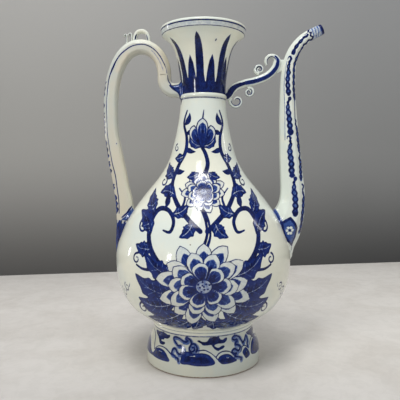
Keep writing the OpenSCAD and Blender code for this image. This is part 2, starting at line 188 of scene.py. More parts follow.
def sampled(kit, geometry, value, index, kind="FLOAT_VECTOR"):
    return kit.add("GeometryNodeSampleIndex", {"Geometry": geometry, "Value": value, "Index": index},
                   data_type=kind, domain="POINT")


def endGeometryTree(kit, sheet, place, material, along=None):
    shape = kit.add("GeometryNodeSetPosition", {"Geometry": sheet, "Position": place})
    if along:
        shape = kit.add("GeometryNodeStoreNamedAttribute", {"Geometry": shape, "Name": "along", "Value": along},
                        data_type="FLOAT", domain="POINT")
    shape = kit.add("GeometryNodeMergeByDistance", {"Geometry": shape, "Distance": meshCare["mergeDistance"]})
    shape = kit.add("GeometryNodeRealizeInstances", {"Geometry": shape})
    shape = kit.add("GeometryNodeSetMaterial", {"Geometry": shape, "Material": material})
    kit.add("NodeGroupOutput", {"Geometry": shape})
    return kit.tree


# Turns an outline of (radius, height) points round the axis. Columns stand closer at the front and the back.
def makeTurningTree():
    kit, given = startGeometryTree("turnOutline", {"Columns": "Int", "Outline Points": "Int",
                                                   "Front Share": "Float"})
    sheet, column, row = sheetOf(kit, given["Columns"] + 1, given["Outline Points"])
    turn = column % given["Columns"] / given["Columns"] * (2 * math.pi)
    turn = turn + (turn * 2).math("SINE") * given["Front Share"] * 0.5
    point = sampled(kit, given["Geometry"], kit.add("GeometryNodeInputPosition"), row)
    radius, unused, height = kit.parts(point)
    place = kit.add("ShaderNodeCombineXYZ",
                    {0: radius * turn.math("COSINE"), 1: radius * turn.math("SINE"), 2: height})
    return endGeometryTree(kit, sheet, place, given["Material"])


# Sweeps a section along a path that lies in one upright plane. Each path point carries the way to its
# right side, its thickness to that side, its depth and its length along the path.
def makeSweepingTree():
    kit, given = startGeometryTree("sweepSection", {"Rings": "Int", "Corners": "Int", "Section": "Object"})
    sheet, ring, corner = sheetOf(kit, given["Rings"], given["Corners"])
    path, here = given["Geometry"], kit.add("GeometryNodeInputPosition")
    carried = {}
    for name, kind in (("side", "FLOAT_VECTOR"), ("thick", "FLOAT"), ("deep", "FLOAT"), ("along", "FLOAT")):
        value = kit.add("GeometryNodeInputNamedAttribute", {"Name": name}, "Attribute", data_type=kind)
        carried[name] = sampled(kit, path, value, ring, kind)
    section = kit.add("GeometryNodeObjectInfo", {"Object": given["Section"]}, "Geometry")
    right, back, unused = kit.parts(sampled(kit, section, here, corner))
    place = kit.add("ShaderNodeVectorMath", {0: carried["side"], "Scale": right * carried["thick"]},
                    operation="SCALE")
    for step in (kit.add("ShaderNodeCombineXYZ", {1: back * carried["deep"]}), sampled(kit, path, here, ring)):
        place = kit.add("ShaderNodeVectorMath", {0: place, 1: step}, operation="ADD")
    return endGeometryTree(kit, sheet, place, given["Material"], carried["along"])


def lineObject(name, points, values=None):
    mesh = bpy.data.meshes.new(name)
    mesh.from_pydata([tuple(p) for p in points], [(i, i + 1) for i in range(len(points) - 1)], [])
    for label, numbers in (values or {}).items():
        numbers = np.asarray(numbers, float)
        kind, field = ("FLOAT_VECTOR", "vector") if numbers.ndim == 2 else ("FLOAT", "value")
        mesh.attributes.new(label, kind, "POINT").data.foreach_set(field, numbers.ravel())
    thing = bpy.data.objects.new(name, mesh)
    bpy.context.scene.collection.objects.link(thing)
    return thing


# Runs a tree on a base object and keeps the result as a plain closed mesh with its normals outwards
def grown(name, base, tree, inputs):
    modifier = base.modifiers.new("shape", "NODES")
    modifier.node_group = tree
    for label, value in inputs.items():
        modifier[socketId(tree, label)] = value
    bpy.context.view_layer.update()
    mesh = bpy.data.meshes.new_from_object(base.evaluated_get(bpy.context.evaluated_depsgraph_get()))
    base.modifiers.remove(modifier)
    bpy.data.objects.remove(base)
    mesh.name = name
    work = bmesh.new()
    work.from_mesh(mesh)
    bmesh.ops.dissolve_degenerate(work, dist=meshCare["lostEdge"], edges=work.edges)
    bmesh.ops.delete(work, geom=[e for e in work.edges if not e.link_faces], context="EDGES")
    bmesh.ops.recalc_face_normals(work, faces=work.faces)
    if work.calc_volume(signed=True) < 0:
        bmesh.ops.reverse_faces(work, faces=work.faces)
    loose = sum(1 for e in work.edges if len(e.link_faces) != 2)
    work.to_mesh(mesh)
    work.free()
    mesh.shade_smooth()
    mesh.set_sharp_from_angle(angle=math.radians(meshCare["sharpDegrees"]))
    piece = bpy.data.objects.new(name, mesh)
    bpy.context.scene.collection.objects.link(piece)
    print(name, "has", sum(len(p.vertices) - 2 for p in mesh.polygons), "triangles,", loose, "open edges")
    return piece


turningTree = makeTurningTree()
sweepingTree = makeSweepingTree()


def turned(name, outline, columns, frontShare, material):
    points = [(r * mm, 0, z * mm) for r, z in outline]
    return grown(name, lineObject(name + "Outline", points), turningTree,
                 {"Columns": columns, "Outline Points": len(points), "Front Share": frontShare, "Material": material})


# Way to the right of each point of a path of (x, z) points
def sidesOf(path):
    run = np.gradient(path[:, :2], axis=0)
    run /= np.linalg.norm(run, axis=1)[:, None]
    return np.stack([run[:, 1], np.zeros(len(run)), -run[:, 0]], 1)


madePaths = {}


# The path has x, z, thickness and depth for each point, in millimetres. A path that runs back inside
# comes with its own sides and lengths.
def swept(name, path, section, material, sides=None, along=None):
    sides = sidesOf(path) if sides is None else sides
    along = lengthsAlong(path) if along is None else along
    madePaths[name] = (path, sides, along)
    first, last = path[:1] * [1, 1, 0, 0], path[-1:] * [1, 1, 0, 0]
    rings = np.vstack([first, path, last])
    sides = np.vstack([sides[:1], sides, sides[-1:]])
    along = np.concatenate([along[:1], along, along[-1:]])
    spine = lineObject(name + "Path", [(x * mm, 0, z * mm) for x, z in rings[:, :2]],
                       {"side": sides, "thick": rings[:, 2] * mm / 2, "deep": rings[:, 3] * mm / 2, "along": along})
    loop = lineObject(name + "Section", [(a, b, 0) for a, b in section])
    piece = grown(name, spine, sweepingTree, {"Rings": len(rings), "Corners": len(section), "Section": loop,
                                              "Material": material})
    bpy.data.objects.remove(loop)
    return piece


# A section given by its corners, as shares of half a thickness and half a depth, with its corners rounded
def roundedSection(corners, rounding, cornerSteps, edgeSteps):
    corners = [np.array(c, float) for c in corners]
    out = []
    for i, corner in enumerate(corners):
        before, after = corners[i - 1], corners[(i + 1) % len(corners)]
        a = corner + (before - corner) * min(0.5, rounding / np.linalg.norm(before - corner))
        b = corner + (after - corner) * min(0.5, rounding / np.linalg.norm(after - corner))
        for k in range(cornerSteps + 1):
            t = k / cornerSteps
            out.append((1 - t) ** 2 * a + 2 * t * (1 - t) * corner + t * t * b)
        c = after + (corner - after) * min(0.5, rounding / np.linalg.norm(after - corner))
        for k in range(1, edgeSteps):
            out.append(b + (c - b) * k / edgeSteps)
    kept = [out[0]]
    for p in out[1:]:
        if np.linalg.norm(p - kept[-1]) > 1e-4:
            kept.append(p)
    return kept


# What a mesh keeps for each of its vertices
def vertexValues(kept, field, width):
    numbers = np.empty(len(kept) * width)
    kept.foreach_get(field, numbers)
    return numbers.reshape(-1, width)


def vertexPlaces(piece):
    return vertexValues(piece.data.vertices, "co", 3) / mm


# How far paint reaches past its line, the thinnest line, and how softly each kind of edge ends, in millimetres
brushLook = {"reach": 5.0, "deepest": -3.0, "thinnest": 0.12, "lineEdge": 0.7, "scrapeEdge": 0.35,
             "shapeEdge": 0.6, "bandEdge": 0.8, "tintEdge": 4.0}


def fading(gap, edge, start=0.5):
    return np.clip(start - gap / edge, 0, 1)


# Cobalt on one or more pieces, in millimetres across and up their surface. ink is the distance to the edge of
# a dark line and is negative inside it; wash is the strength of the thinned blue; tone is the glaze's warmth.
class Brush:
    def __init__(self, pieces, across, up, where):
        self.pieces, self.where = pieces, where
        self.place = np.stack([across, up], 1)
        self.ink = np.full(len(across), brushLook["reach"])
        self.wash, self.tone = np.zeros(len(across)), np.zeros(len(across))

    def near(self, line):
        low, high = line.min(0) - brushLook["reach"], line.max(0) + brushLook["reach"]
        inBox = np.all((self.place > low) & (self.place < high), 1)
        return np.nonzero(inBox & self.where)[0]

    def gap(self, chosen, line, widths):
        nearest = np.full(len(chosen), 99.0)
        spots = self.place[chosen]
        for a, b, wa, wb in zip(line[:-1], line[1:], widths[:-1], widths[1:]):
            way = b - a
            t = np.clip((spots - a) @ way / max(way @ way, 1e-9), 0, 1)
            off = spots - a - t[:, None] * way
            nearest = np.minimum(nearest, np.hypot(off[:, 0], off[:, 1]) - (wa + t * (wb - wa)) / 2)
        return nearest

    # The vertices near a smooth line with a width at each point, and their gaps to its edge
    def gapTo(self, points, widths, steps):
        if np.isscalar(widths):
            widths = [widths] * len(points)
        run = smoothLine([tuple(p) + (w,) for p, w in zip(points, widths)], steps)
        chosen = self.near(run[:, :2])
        return chosen, self.gap(chosen, run[:, :2], np.maximum(run[:, 2], brushLook["thinnest"]))

    def line(self, points, widths, steps=6, wash=0.0):
        chosen, gap = self.gapTo(points, widths, steps)
        if wash:
            self.wash[chosen] = np.maximum(self.wash[chosen], wash * fading(gap, brushLook["lineEdge"]))
        else:
            self.ink[chosen] = np.minimum(self.ink[chosen], gap)

    # A pale line that is scraped out of what was painted before
    def scrape(self, points, widths, steps=4, level=0.2):
        chosen, gap = self.gapTo(points, widths, steps)
        self.ink[chosen] = np.maximum(self.ink[chosen], -gap)
        self.wash[chosen] = np.minimum(self.wash[chosen], np.clip(level + gap / brushLook["scrapeEdge"], level, 1))

    def tint(self, points, width, strength):
        chosen, gap = self.gapTo(points, width, 6)
        self.tone[chosen] = np.maximum(self.tone[chosen], strength * fading(gap, brushLook["tintEdge"], 0.6))

    # A closed shape that covers what lies under it, with a wash that may change across it, and an outline
    def shape(self, outline, wash=0.0, lineWidth=0.0, washAt=None, steps=5, cover=True, dark=False):
        outline = np.array(outline, float)
        if steps > 1:
            ring = np.vstack([outline[-1:], outline, outline[:2]])
            outline = smoothLine(ring, steps)[steps:-steps]
        loop = np.vstack([outline, outline[:1]])
        chosen = self.near(loop)
        spots = self.place[chosen]
        inside = np.zeros(len(chosen), bool)
        for a, b in zip(loop[:-1], loop[1:]):
            crosses = (a[1] > spots[:, 1]) != (b[1] > spots[:, 1])
            slope = (b[0] - a[0]) * (spots[:, 1] - a[1]) / (b[1] - a[1] if b[1] != a[1] else 1e-9) + a[0]
            inside ^= crosses & (spots[:, 0] < slope)
        gap = self.gap(chosen, loop, np.zeros(len(loop)))
        signed = np.where(inside, -gap, gap)
        if dark:
            self.ink[chosen] = np.minimum(self.ink[chosen], signed)
            return
        if cover:
            self.ink[chosen] = np.where(inside, np.maximum(self.ink[chosen], gap), self.ink[chosen])
            self.wash[chosen] = np.where(inside, 0, self.wash[chosen])
        level = wash if washAt is None else wash * washAt(spots)
        self.wash[chosen] = np.maximum(self.wash[chosen], level * fading(signed, brushLook["shapeEdge"]))
        if lineWidth:
            self.ink[chosen] = np.minimum(self.ink[chosen], np.abs(signed) - lineWidth / 2)

    # Ink or wash on all the vertices that where picks out
    def spread(self, where, gap=None, wash=0.0):
        if gap is not None:
            self.ink = np.where(where, np.minimum(self.ink, gap), self.ink)
        self.wash = np.where(where, np.maximum(self.wash, wash), self.wash)

    def finish(self):
        ends = np.cumsum([len(piece.data.vertices) for piece in self.pieces])
        for label, numbers, low, high in (("ink", self.ink, brushLook["deepest"], brushLook["reach"]),
                                          ("wash", self.wash, 0, 1), ("tone", self.tone, 0, 1)):
            for piece, kept in zip(self.pieces, np.split(np.clip(numbers, low, high), ends[:-1])):
                piece.data.attributes.new(label, "FLOAT", "POINT").data.foreach_set("value", kept)


# What the clear glaze and the cobalt under it look like
glazeLook = {
    "white": (0.80, 0.80, 0.67, 1), "cool": (0.72, 0.77, 0.70, 1), "warm": (0.84, 0.79, 0.63, 1),
    "cobalt": (0.004, 0.017, 0.135, 1), "deep": (0.001, 0.002, 0.026, 1), "thin": (0.045, 0.105, 0.33, 1),
    # the bare clay colour is darkened so that it is a painted contact shadow as well
    "pale": (0.45, 0.55, 0.70, 1), "speck": (0.16, 0.11, 0.06, 1), "shadedBiscuit": (0.26, 0.18, 0.12, 1),
    # faces that don't face upward are multiplied by these: painted shade on the handle and the foot, painted light on
    # the mouth
    "paintedShadeHandle": (0.77, 0.76, 0.76, 1), "paintedShadeFoot": (0.77, 0.77, 0.76, 1), "paintedLightMouth": (1.13, 1.13, 1.12, 1),
    "gloss": 0.09, "peel": 0.16, "peels": 260.0, "drifts": 20.0, "ringHeight": 0.000035, "ringTurns": 0.9,
    "specks": 85.0, "speckPatches": 31.0,
    "broad": 14.0, "cloud": 60.0, "bristle": 420.0, "grain": 1500.0, "heaps": 230.0, "flecks": 900.0,
    "streaks": 300.0, "index": 1.36, "coat": 0.2, "coatGloss": 0.04, "bumpStrength": 0.55,
}


# Glaze over cobalt. What is painted comes from the attributes ink, wash and tone of the piece.
def glazeMaterial(name, white="white", rings=0.0, footEdge=False, shade=None):
    look = glazeLook
    material, kit, place = startMaterial(name)
    height = kit.parts(place)[2] * (1 / mm)
    ink, wash, tone = [kit.add("ShaderNodeAttribute", {}, "Fac", attribute_name=painted)
                       for painted in ("ink", "wash", "tone")]
    broad = kit.noise(place, look["broad"], 2.0)
    cloud = kit.noise(place, look["cloud"], 3.0, 0.6)
    bristle = kit.noise(place, look["bristle"], 2.0, 0.6)
    grain = kit.noise(place, look["grain"], 2.0, 0.6)

    # the glaze itself: slightly uneven, cooler where it gathers, with a few iron specks and pin holes
    base = kit.mix(kit.step(broad, 0.38, 0.66), look[white], look["cool"])
    base = kit.mix(kit.step(cloud, 0.5, 0.75) * 0.35, base, look["warm"])
    base = kit.mix(tone, base, look["warm"])
    # painted shade and painted light: faces that don't face upward take the shade colour, darker on the handle and
    # foot, lighter on the mouth
    if shade:
        upward = kit.parts(kit.add("ShaderNodeNewGeometry", {}, "Normal"))[2]
        base = kit.mix(1 - kit.step(upward, 0.25, 0.85), base, look[shade], "MULTIPLY")
    cells = kit.add("ShaderNodeTexVoronoi", {"Vector": place, "Scale": look["specks"]}, "Distance")
    size = kit.step(kit.noise(place, look["speckPatches"], 1.0), 0.6, 0.78)
    speck = kit.step(cells, 0.075, 0.035) * size
    base = kit.mix(speck * 0.75, base, look["speck"])

    # cobalt: a crisp wavering edge, heaped darker spots, thin streaks of wash, and a faint run into the glaze
    waver = ink + (bristle - 0.5) * 0.34 + (cloud - 0.5) * 0.3
    inked = kit.step(waver, 0.16, -0.16)
    heaped = kit.step(kit.noise(place, look["heaps"], 3.0, 0.7), 0.42, 0.62)
    core = kit.step(waver, -0.2, -0.9)
    dark = kit.mix(heaped * 0.75, look["cobalt"], look["deep"])
    dark = kit.mix(core * kit.step(cloud, 0.3, 0.62) * 0.5, dark, look["deep"])
    dark = kit.mix(kit.step(kit.noise(place, look["flecks"], 2.0), 0.56, 0.78) * 0.3, dark, look["thin"])
    streak = kit.noise(place, look["streaks"], 4.0, 0.68, 0.6)
    strength = (wash * kit.step(streak, 0.2, 0.8, 0.55, 1.3) + (grain - 0.5) * wash * 0.5).clamped()
    washed = kit.mix(kit.step(strength, 0.2, 0.85), look["thin"], look["cobalt"])
    colour = kit.mix(kit.step(ink, 1.9, 0.0) * 0.12, base, look["pale"])
    colour = kit.mix(kit.step(strength, 0.0, 0.42), colour, washed)
    colour = kit.mix(inked, colour, dark)
    rough = look["gloss"] + (cloud - 0.5) * 0.07 + kit.step(grain, 0.55, 0.8) * 0.04 + inked * 0.03
    # the bare clay at the foot's lower edge, darkened so that it is a painted contact shadow as well
    if footEdge:
        bare = kit.step(height + (bristle - 0.5) * 1.2, 1.5, 0.9)
        colour = kit.mix(bare, colour, look["shadedBiscuit"])
        rough = rough * (1 - bare) + bare * 0.75

    # the surface: orange peel, slow hollows, and the turner's finger rings
    relief = kit.noise(place, look["peels"], 2.0) * 0.00012 * look["peel"] + broad * 0.0016 + cloud * 0.00018
    if rings:
        drift = kit.noise(place, look["drifts"], 1.0) * 3
        relief = relief + ((height + drift) * look["ringTurns"]).math("SINE") * look["ringHeight"] * rings
    relief = relief + inked * 0.00002 - speck * 0.00006
    bump = kit.add("ShaderNodeBump", {"Height": relief, "Distance": 1.0, "Strength": look["bumpStrength"]}, "Normal")
    shader = kit.add("ShaderNodeBsdfPrincipled", {
        "Base Color": colour, "Roughness": rough, "Normal": bump, "IOR": look["index"],
        "Coat Weight": look["coat"], "Coat Roughness": look["coatGloss"]})
    kit.add("ShaderNodeOutputMaterial", {"Surface": shader})
    return material


bodyGlaze = glazeMaterial("bodyGlaze", rings=1.0)
neckGlaze = glazeMaterial("neckGlaze", rings=0.6)
mouthGlaze = glazeMaterial("mouthGlaze", rings=0.6, shade="paintedLightMouth")
footGlaze = glazeMaterial("footGlaze", rings=0.5, footEdge=True, shade="paintedShadeFoot")
spoutGlaze = glazeMaterial("spoutGlaze", white="cool")
handleGlaze = glazeMaterial("handleGlaze", white="warm", shade="paintedShadeHandle")
bridgeGlaze = glazeMaterial("bridgeGlaze", white="cool")
print("glazes mixed")

# Foot, collar, body, neck ring and mouth, turned on the wheel
foot = {
    "radius": 57.5, "height": 36.8, "waist": 50.3, "wall": 6.4, "edge": 1.5, "collar": 6.5, "bulge": 1.4,
    "stepShare": 0.48, "columns": 560, "spacing": 0.62, "collarColumns": 300,
    "curve": [(1, 0), (1, 0.18), (0.96, 0.3), (0.82, 0.44), (0.55, 0.6), (0.27, 0.74), (0.08, 0.87), (0, 1)],
}
body = {
    "low": 52.5, "belly": 87.3, "bellyHeight": 103, "seam": 91, "shoulderShare": 0.52, "neck": 22.3,
    "neckHeight": 260.5, "wall": 4.2, "columns": 570, "neckColumns": 330, "spacing": 0.75, "neckSpacing": 0.7,
    "lowCurve": [(0, 0), (0.16, 0.045), (0.33, 0.112), (0.48, 0.18), (0.605, 0.25), (0.79, 0.414),
                 (0.925, 0.615), (0.985, 0.82)],
    "highCurve": [(1, 0), (0.993, 0.05), (0.965, 0.1), (0.928, 0.142), (0.832, 0.235), (0.683, 0.331),
                  (0.505, 0.426), (0.32, 0.521), (0.188, 0.616), (0.116, 0.711), (0.062, 0.807), (0.023, 0.902),
                  (0, 1)],
}
mouth = {
    "ring": 4.3, "ringBulge": 1.2, "height": 330, "radius": 42.4, "lip": 7.5, "lean": 1.5, "wall": 3.2,
    "columns": 400, "spacing": 0.6, "ringColumns": 260,
    "curve": [(0, 0), (0.005, 0.07), (0.043, 0.28), (0.162, 0.53), (0.254, 0.67), (0.357, 0.775), (0.486, 0.85),
              (0.67, 0.925), (1, 1)],
}
bodyLow = foot["height"] + foot["collar"]
shoulder = between(body["bellyHeight"], body["neckHeight"], body["shoulderShare"])
ringTop = body["neckHeight"] + mouth["ring"]
lipLow, lipRadius = mouth["height"] - mouth["lip"], mouth["radius"] - mouth["lean"]
bodyOutline = smoothLine([(between(body["low"], body["belly"], a), between(bodyLow, body["bellyHeight"], b))
                          for a, b in body["lowCurve"]]
                         + [(between(body["neck"], body["belly"], a),
                             between(body["bellyHeight"], body["neckHeight"], b)) for a, b in body["highCurve"]], 12)
mouthFlare = smoothLine([(between(body["neck"], lipRadius, a), between(ringTop, lipLow, b))
                         for a, b in mouth["curve"]], 12)
outerLine = np.vstack([bodyOutline, mouthFlare])


def bodyRadius(z):
    return np.interp(z, outerLine[:, 1], outerLine[:, 0])


footOutline = np.vstack([
    [(foot["radius"] - foot["edge"] + foot["edge"] * math.sin(a), foot["edge"] - foot["edge"] * math.cos(a))
     for a in np.linspace(0, math.pi / 2, 9)[:-1]],
    smoothLine([(between(foot["waist"], foot["radius"], a), between(foot["edge"], foot["height"], b))
                for a, b in foot["curve"]], 12)])
footInner = foot["waist"] - foot["wall"]
footHollow = spaced([(footInner, foot["height"]), (foot["radius"] - foot["wall"], 0)], 3)
footRing = turned("footRing", np.vstack([spaced(footOutline, foot["spacing"]), footHollow]), foot["columns"], 0.2,
                  footGlaze)
stepZ = between(foot["height"], bodyLow, foot["stepShare"])
footCollar = turned("footCollar", np.vstack([
    moulding(foot["waist"], foot["bulge"] * foot["stepShare"], foot["height"], stepZ),
    moulding(foot["waist"], foot["bulge"], stepZ, bodyLow)[1:], [(footInner, bodyLow), (footInner, foot["height"])]]),
    foot["collarColumns"], 0.2, neckGlaze)

inside = insetOutline(bodyOutline, body["wall"])
floorZ = inside[0][1]


# The wall of the body between two heights: its outer side upwards, and its inner side back down
def wallBetween(low, high, spacing, innerSpacing, innerLow=None):
    return np.vstack([spaced(cutOutline(bodyOutline, low, high), spacing),
                      spaced(cutOutline(inside, innerLow or low, high), innerSpacing)[::-1]])


lowerBody = turned("lowerBody", np.vstack([
    [(0, bodyLow)], wallBetween(bodyLow, body["seam"], body["spacing"], 4, floorZ), [(0, floorZ)]]),
    body["columns"], 0.45, bodyGlaze)
upperBody = turned("upperBody", wallBetween(body["seam"], shoulder, body["spacing"], 4), body["columns"], 0.45,
                   bodyGlaze)
neck = turned("thrownNeck", wallBetween(shoulder, body["neckHeight"], body["neckSpacing"], 3), body["neckColumns"],
              0.3, neckGlaze)
ringInner = body["neck"] - body["wall"]
neckRing = turned("neckRing", np.vstack([
    moulding(body["neck"], mouth["ringBulge"], body["neckHeight"], ringTop, 20),
    [(ringInner, ringTop), (ringInner, body["neckHeight"])]]), mouth["ringColumns"], 0.2, neckGlaze)
walls = between(body["wall"], mouth["wall"], np.linspace(0, 1, len(mouthFlare)))[:, None]
mouthInside = insetOutline(mouthFlare, walls, (0, 1))
lipRound = mouth["wall"] / 2
lipLine = [(mouth["radius"] - lipRound + lipRound * math.cos(a), mouth["height"] - lipRound + lipRound * math.sin(a))
           for a in np.linspace(0, math.pi, 13)]
mouthOuter = spaced(np.vstack([mouthFlare, lipLine[:1]]), mouth["spacing"])
trumpetMouth = turned("trumpetMouth", np.vstack([mouthOuter, lipLine[1:], spaced(mouthInside, 1.5)[::-1]]),
                      mouth["columns"], 0.15, mouthGlaze)
turnedPieces = {"foot_ring": footRing, "foot_collar": footCollar, "lower_body": lowerBody, "upper_body": upperBody,
                "neck": neck, "neck_ring": neckRing, "trumpet_mouth": trumpetMouth}
print("turned pieces ready")


# Presses whatever lies inside the body into its wall, and lets the clay swell a little where it joins the body
def settled(piece, fillet, reach, sink=1.6):
    places = vertexPlaces(piece)
    radius = np.hypot(places[:, 0], places[:, 1])
    wall = bodyRadius(places[:, 2])
    close = np.clip(1 - (radius - wall) / reach, 0, 1) * (radius > wall - 3)
    places = places + vertexValues(piece.data.vertices, "normal", 3) * (fillet * close ** 2)[:, None]
    radius = np.hypot(places[:, 0], places[:, 1])
    low = wall - sink
    inner = (radius < low) & (radius > 1e-6)
    places[:, :2] *= np.where(inner, low / np.maximum(radius, 1e-6), 1)[:, None]
    piece.data.vertices.foreach_set("co", (places * mm).ravel())
    piece.data.update()


# The spout: eight flats from the belly up to the tip, with its bore
spout = {
    "bow": (90, 170, 23.6), "stem": (84, 268), "tip": (117.6, 329.8, 10), "rootHeight": 112, "rootWidth": 40,
    "sinkShare": 0.46, "stemWidthShare": 0.65, "wall": 4, "tipWall": 2, "rounding": 0.13, "spacing": 0.6,
    "boreLow": -10.0,
    "rootCurve": [(0, 0, 0), (0.27, 0.17, 0.1), (0.545, 0.33, 0.26), (0.82, 0.55, 0.57), (0.968, 0.776, 0.9)],
    "stemCurve": [(0, 0, 0), (0.24, 0.18, 0.2), (0.5, 0.39, 0.38), (0.72, 0.59, 0.57), (0.9, 0.8, 0.77), (1, 1, 1)],
    "tipCurve": [(0.012, 0.26, 0.12), (0.065, 0.485, 0.38), (0.193, 0.663, 0.6), (0.387, 0.8, 0.75),
                 (0.625, 0.898, 0.85), (1, 1, 1)],
}


def stretched(shares, start, end):
    return [tuple(between(a, b, s) for a, b, s in zip(start, end, share)) for share in shares]


spoutRoot = (bodyRadius(spout["rootHeight"]) - spout["rootWidth"] * spout["sinkShare"], spout["rootHeight"],
             spout["rootWidth"])
spoutStem = spout["stem"] + (between(spout["bow"][2], spout["tip"][2], spout["stemWidthShare"]),)
spoutLine = spaced(smoothLine(stretched(spout["rootCurve"], spoutRoot, spout["bow"])
                              + stretched(spout["stemCurve"], spout["bow"], spoutStem)
                              + stretched(spout["tipCurve"], spoutStem, spout["tip"]), 16), spout["spacing"])
spoutLine = np.column_stack([spoutLine, spoutLine[:, 2]])
flatReach = 1 / math.cos(math.pi / 8)
octagon = [(flatReach * math.cos(a), flatReach * math.sin(a)) for a in np.radians(np.arange(8) * 45 + 22.5)]
spoutSection = roundedSection(octagon, spout["rounding"], 4, 11)
outSides, outAlong = sidesOf(spoutLine), lengthsAlong(spoutLine)
tipLength = outAlong[-1]
bore = spoutLine[::-3].copy()
wallNow = between(spout["wall"], spout["tipWall"], outAlong[::-3] / tipLength)
bore[:, 2:] -= 2 * wallNow[:, None]
spoutPath = np.vstack([spoutLine[:-1], spoutLine[-1:] - [0, 0, 0.35, 0.35], spoutLine[-1:] - [0, 0, 1, 1], bore])
spoutSides = np.vstack([outSides, outSides[-1:], outSides[::-3]])
spoutAlong = np.concatenate([outAlong, [tipLength], np.full(len(bore), spout["boreLow"])])
spoutPiece = swept("spout", spoutPath, spoutSection, spoutGlaze, spoutSides, spoutAlong)
settled(spoutPiece, fillet=2.2, reach=7)

# The handle: a strap with bevelled edges from the belly over the arch to its inner leg
handle = {
    "out": (92.3, 252), "foot": (79.0, 141), "arch": (61.9, 312.7), "leg": (38.4, 284), "stubDrop": 14.1,
    "thick": 13.2, "wide": 17, "archPower": 2 / 2.15, "bendShare": 0.68, "leaf": 36, "leafRise": 0.9,
    "spacing": 0.7, "stubSpacing": 0.6, "rounding": 0.17,
    "lowCurve": [(0, 0), (0.05, 0.153), (0.255, 0.285), (0.4, 0.393), (0.59, 0.503), (0.68, 0.575), (0.83, 0.683),
                 (0.955, 0.791)],
    "swell": [0.25, 0.25, 0.13, 0.13, 0.13, 0.1, 0.04, -0.02], "stubSwell": [0.5, 0.38, 0.16, 0.04],
    "leafCurve": [(0, 0, 1, 1), (0.3, 0.5, 0.75, 0.86), (0.6, 1.1, 0.55, 0.62), (0.85, 1.1, 0.36, 0.36),
                  (1, 0.75, 0.24, 0.12)],
    "section": [(1, -0.5), (1, 0.5), (0.4, 1), (-0.72, 1), (-1, 0.7), (-1, -0.7), (-0.72, -1), (0.4, -1)],
}
thick, wide = handle["thick"], handle["wide"]
outX, outZ = handle["out"]
footX, footZ = handle["foot"]
archX, archZ = handle["arch"]
legX, legZ = handle["leg"]
strapPoints = [(-between(archX, legX, math.cos(a)), between(legZ, archZ, math.sin(a)), thick, wide)
               for a in np.radians(np.arange(0, 91, 9))]
strapPoints += [(-between(archX, outX, math.cos(a) ** handle["archPower"]),
                 between(outZ, archZ, math.sin(a) ** handle["archPower"]), thick, wide)
                for a in np.radians(np.arange(81, -1, -9))]
strapPoints += [(-between(footX, outX, a), between(footZ, outZ, b), thick * (1 + s), wide)
                for (a, b), s in zip(handle["lowCurve"][::-1], handle["swell"][::-1])]
strapLine = spaced(smoothLine(strapPoints, 6), handle["spacing"])
strapSection = roundedSection(handle["section"], handle["rounding"], 4, 8)
handleStrap = swept("handleStrap", strapLine, strapSection, handleGlaze)
settled(handleStrap, fillet=1.5, reach=6)
bend = handle["stubDrop"] * handle["bendShare"]
stubZ = legZ - handle["stubDrop"]
stubPoints = [(-between(body["neck"] * 0.8, legX - bend, k / 4), stubZ, thick * (1 + s), wide)
              for k, s in enumerate(handle["stubSwell"])]
stubPoints += [(-legX + bend - bend * math.sin(a), stubZ + bend - bend * math.cos(a), thick, wide)
               for a in np.linspace(0, math.pi / 2, 9)] + [(-legX, legZ + 0.4, thick, wide)]
stubLine = spaced(smoothLine(stubPoints, 6), handle["stubSpacing"])
handleStub = swept("handleStub", stubLine, strapSection, handleGlaze)
settled(handleStub, fillet=1.3, reach=3)
footThick = thick * (1 + handle["swell"][0])
leafPoints = []
for down, out, t, w in handle["leafCurve"]:
    leafThick = footThick * t
    leafPoints.append((-between(footX + footThick / 2, body["belly"] + handle["leafRise"], out) + leafThick / 2,
                       footZ - handle["leaf"] * down, leafThick, wide * w))
handleLeaf = swept("handleLeaf", spaced(smoothLine(leafPoints, 10), handle["spacing"]), strapSection, handleGlaze)
settled(handleLeaf, fillet=0.5, reach=2)

# The loop and the two curls on top of the arch
loop = {
    "height": 10.4, "width": 17.6, "band": 3.7, "deep": 7, "curlHeight": 7, "curl": 1.7, "curlDeep": 6,
    "curlDegrees": 216, "power": 2 / 2.6, "sinkShare": 0.35, "shiftShare": 0.05, "curlShare": 0.72,
    "smallShare": 0.85, "gap": 0.4,
    "section": [(1, -0.62), (1, 0.62), (0.5, 1), (-0.5, 1), (-1, 0.62), (-1, -0.62), (-0.5, -1), (0.5, -1)],
}
barSection = roundedSection(loop["section"], 0.3, 4, 4)
archTop = archZ + thick / 2
loopLow = archTop - loop["sinkShare"] * loop["height"]
loopX = archX - loop["width"] * loop["shiftShare"]
across = (loop["width"] - loop["band"]) / 2
loopPoints = []
for a in np.linspace(math.pi, 0, 49):
    c = math.cos(a)
    loopPoints.append((-loopX + across * math.copysign(abs(c) ** loop["power"], c),
                       between(loopLow, archTop + loop["height"] - loop["band"] / 2,
                               max(math.sin(a), 0) ** loop["power"]), loop["band"], loop["deep"]))
handleLoop = swept("handleLoop", spaced(loopPoints, 0.4), barSection, bodyGlaze)


def archCurl(name, x, height, radius):
    points = [(-x, loopLow, loop["curl"], loop["curlDeep"])]
    for f in np.linspace(0, 1, 17):
        a = math.radians(loop["curlDegrees"]) * f
        points.append((-x - radius + radius * math.cos(a), archTop + height - loop["curl"] / 2 - radius
                       + radius * math.sin(a), loop["curl"] * (1 - 0.3 * f), loop["curlDeep"] * (1 - 0.25 * f)))
    return swept(name, spaced(points, 0.25), barSection, bodyGlaze)


largeX = loopX + loop["width"] / 2 + loop["curl"] / 2 + loop["gap"]
curlRadius = loop["curl"] * loop["curlShare"]
smallX = largeX + 2 * curlRadius + loop["curl"] + loop["gap"]
curlLarge = archCurl("loopCurlLarge", largeX, loop["curlHeight"], curlRadius)
curlSmall = archCurl("loopCurlSmall", smallX, loop["curlHeight"] * loop["smallShare"], curlRadius)

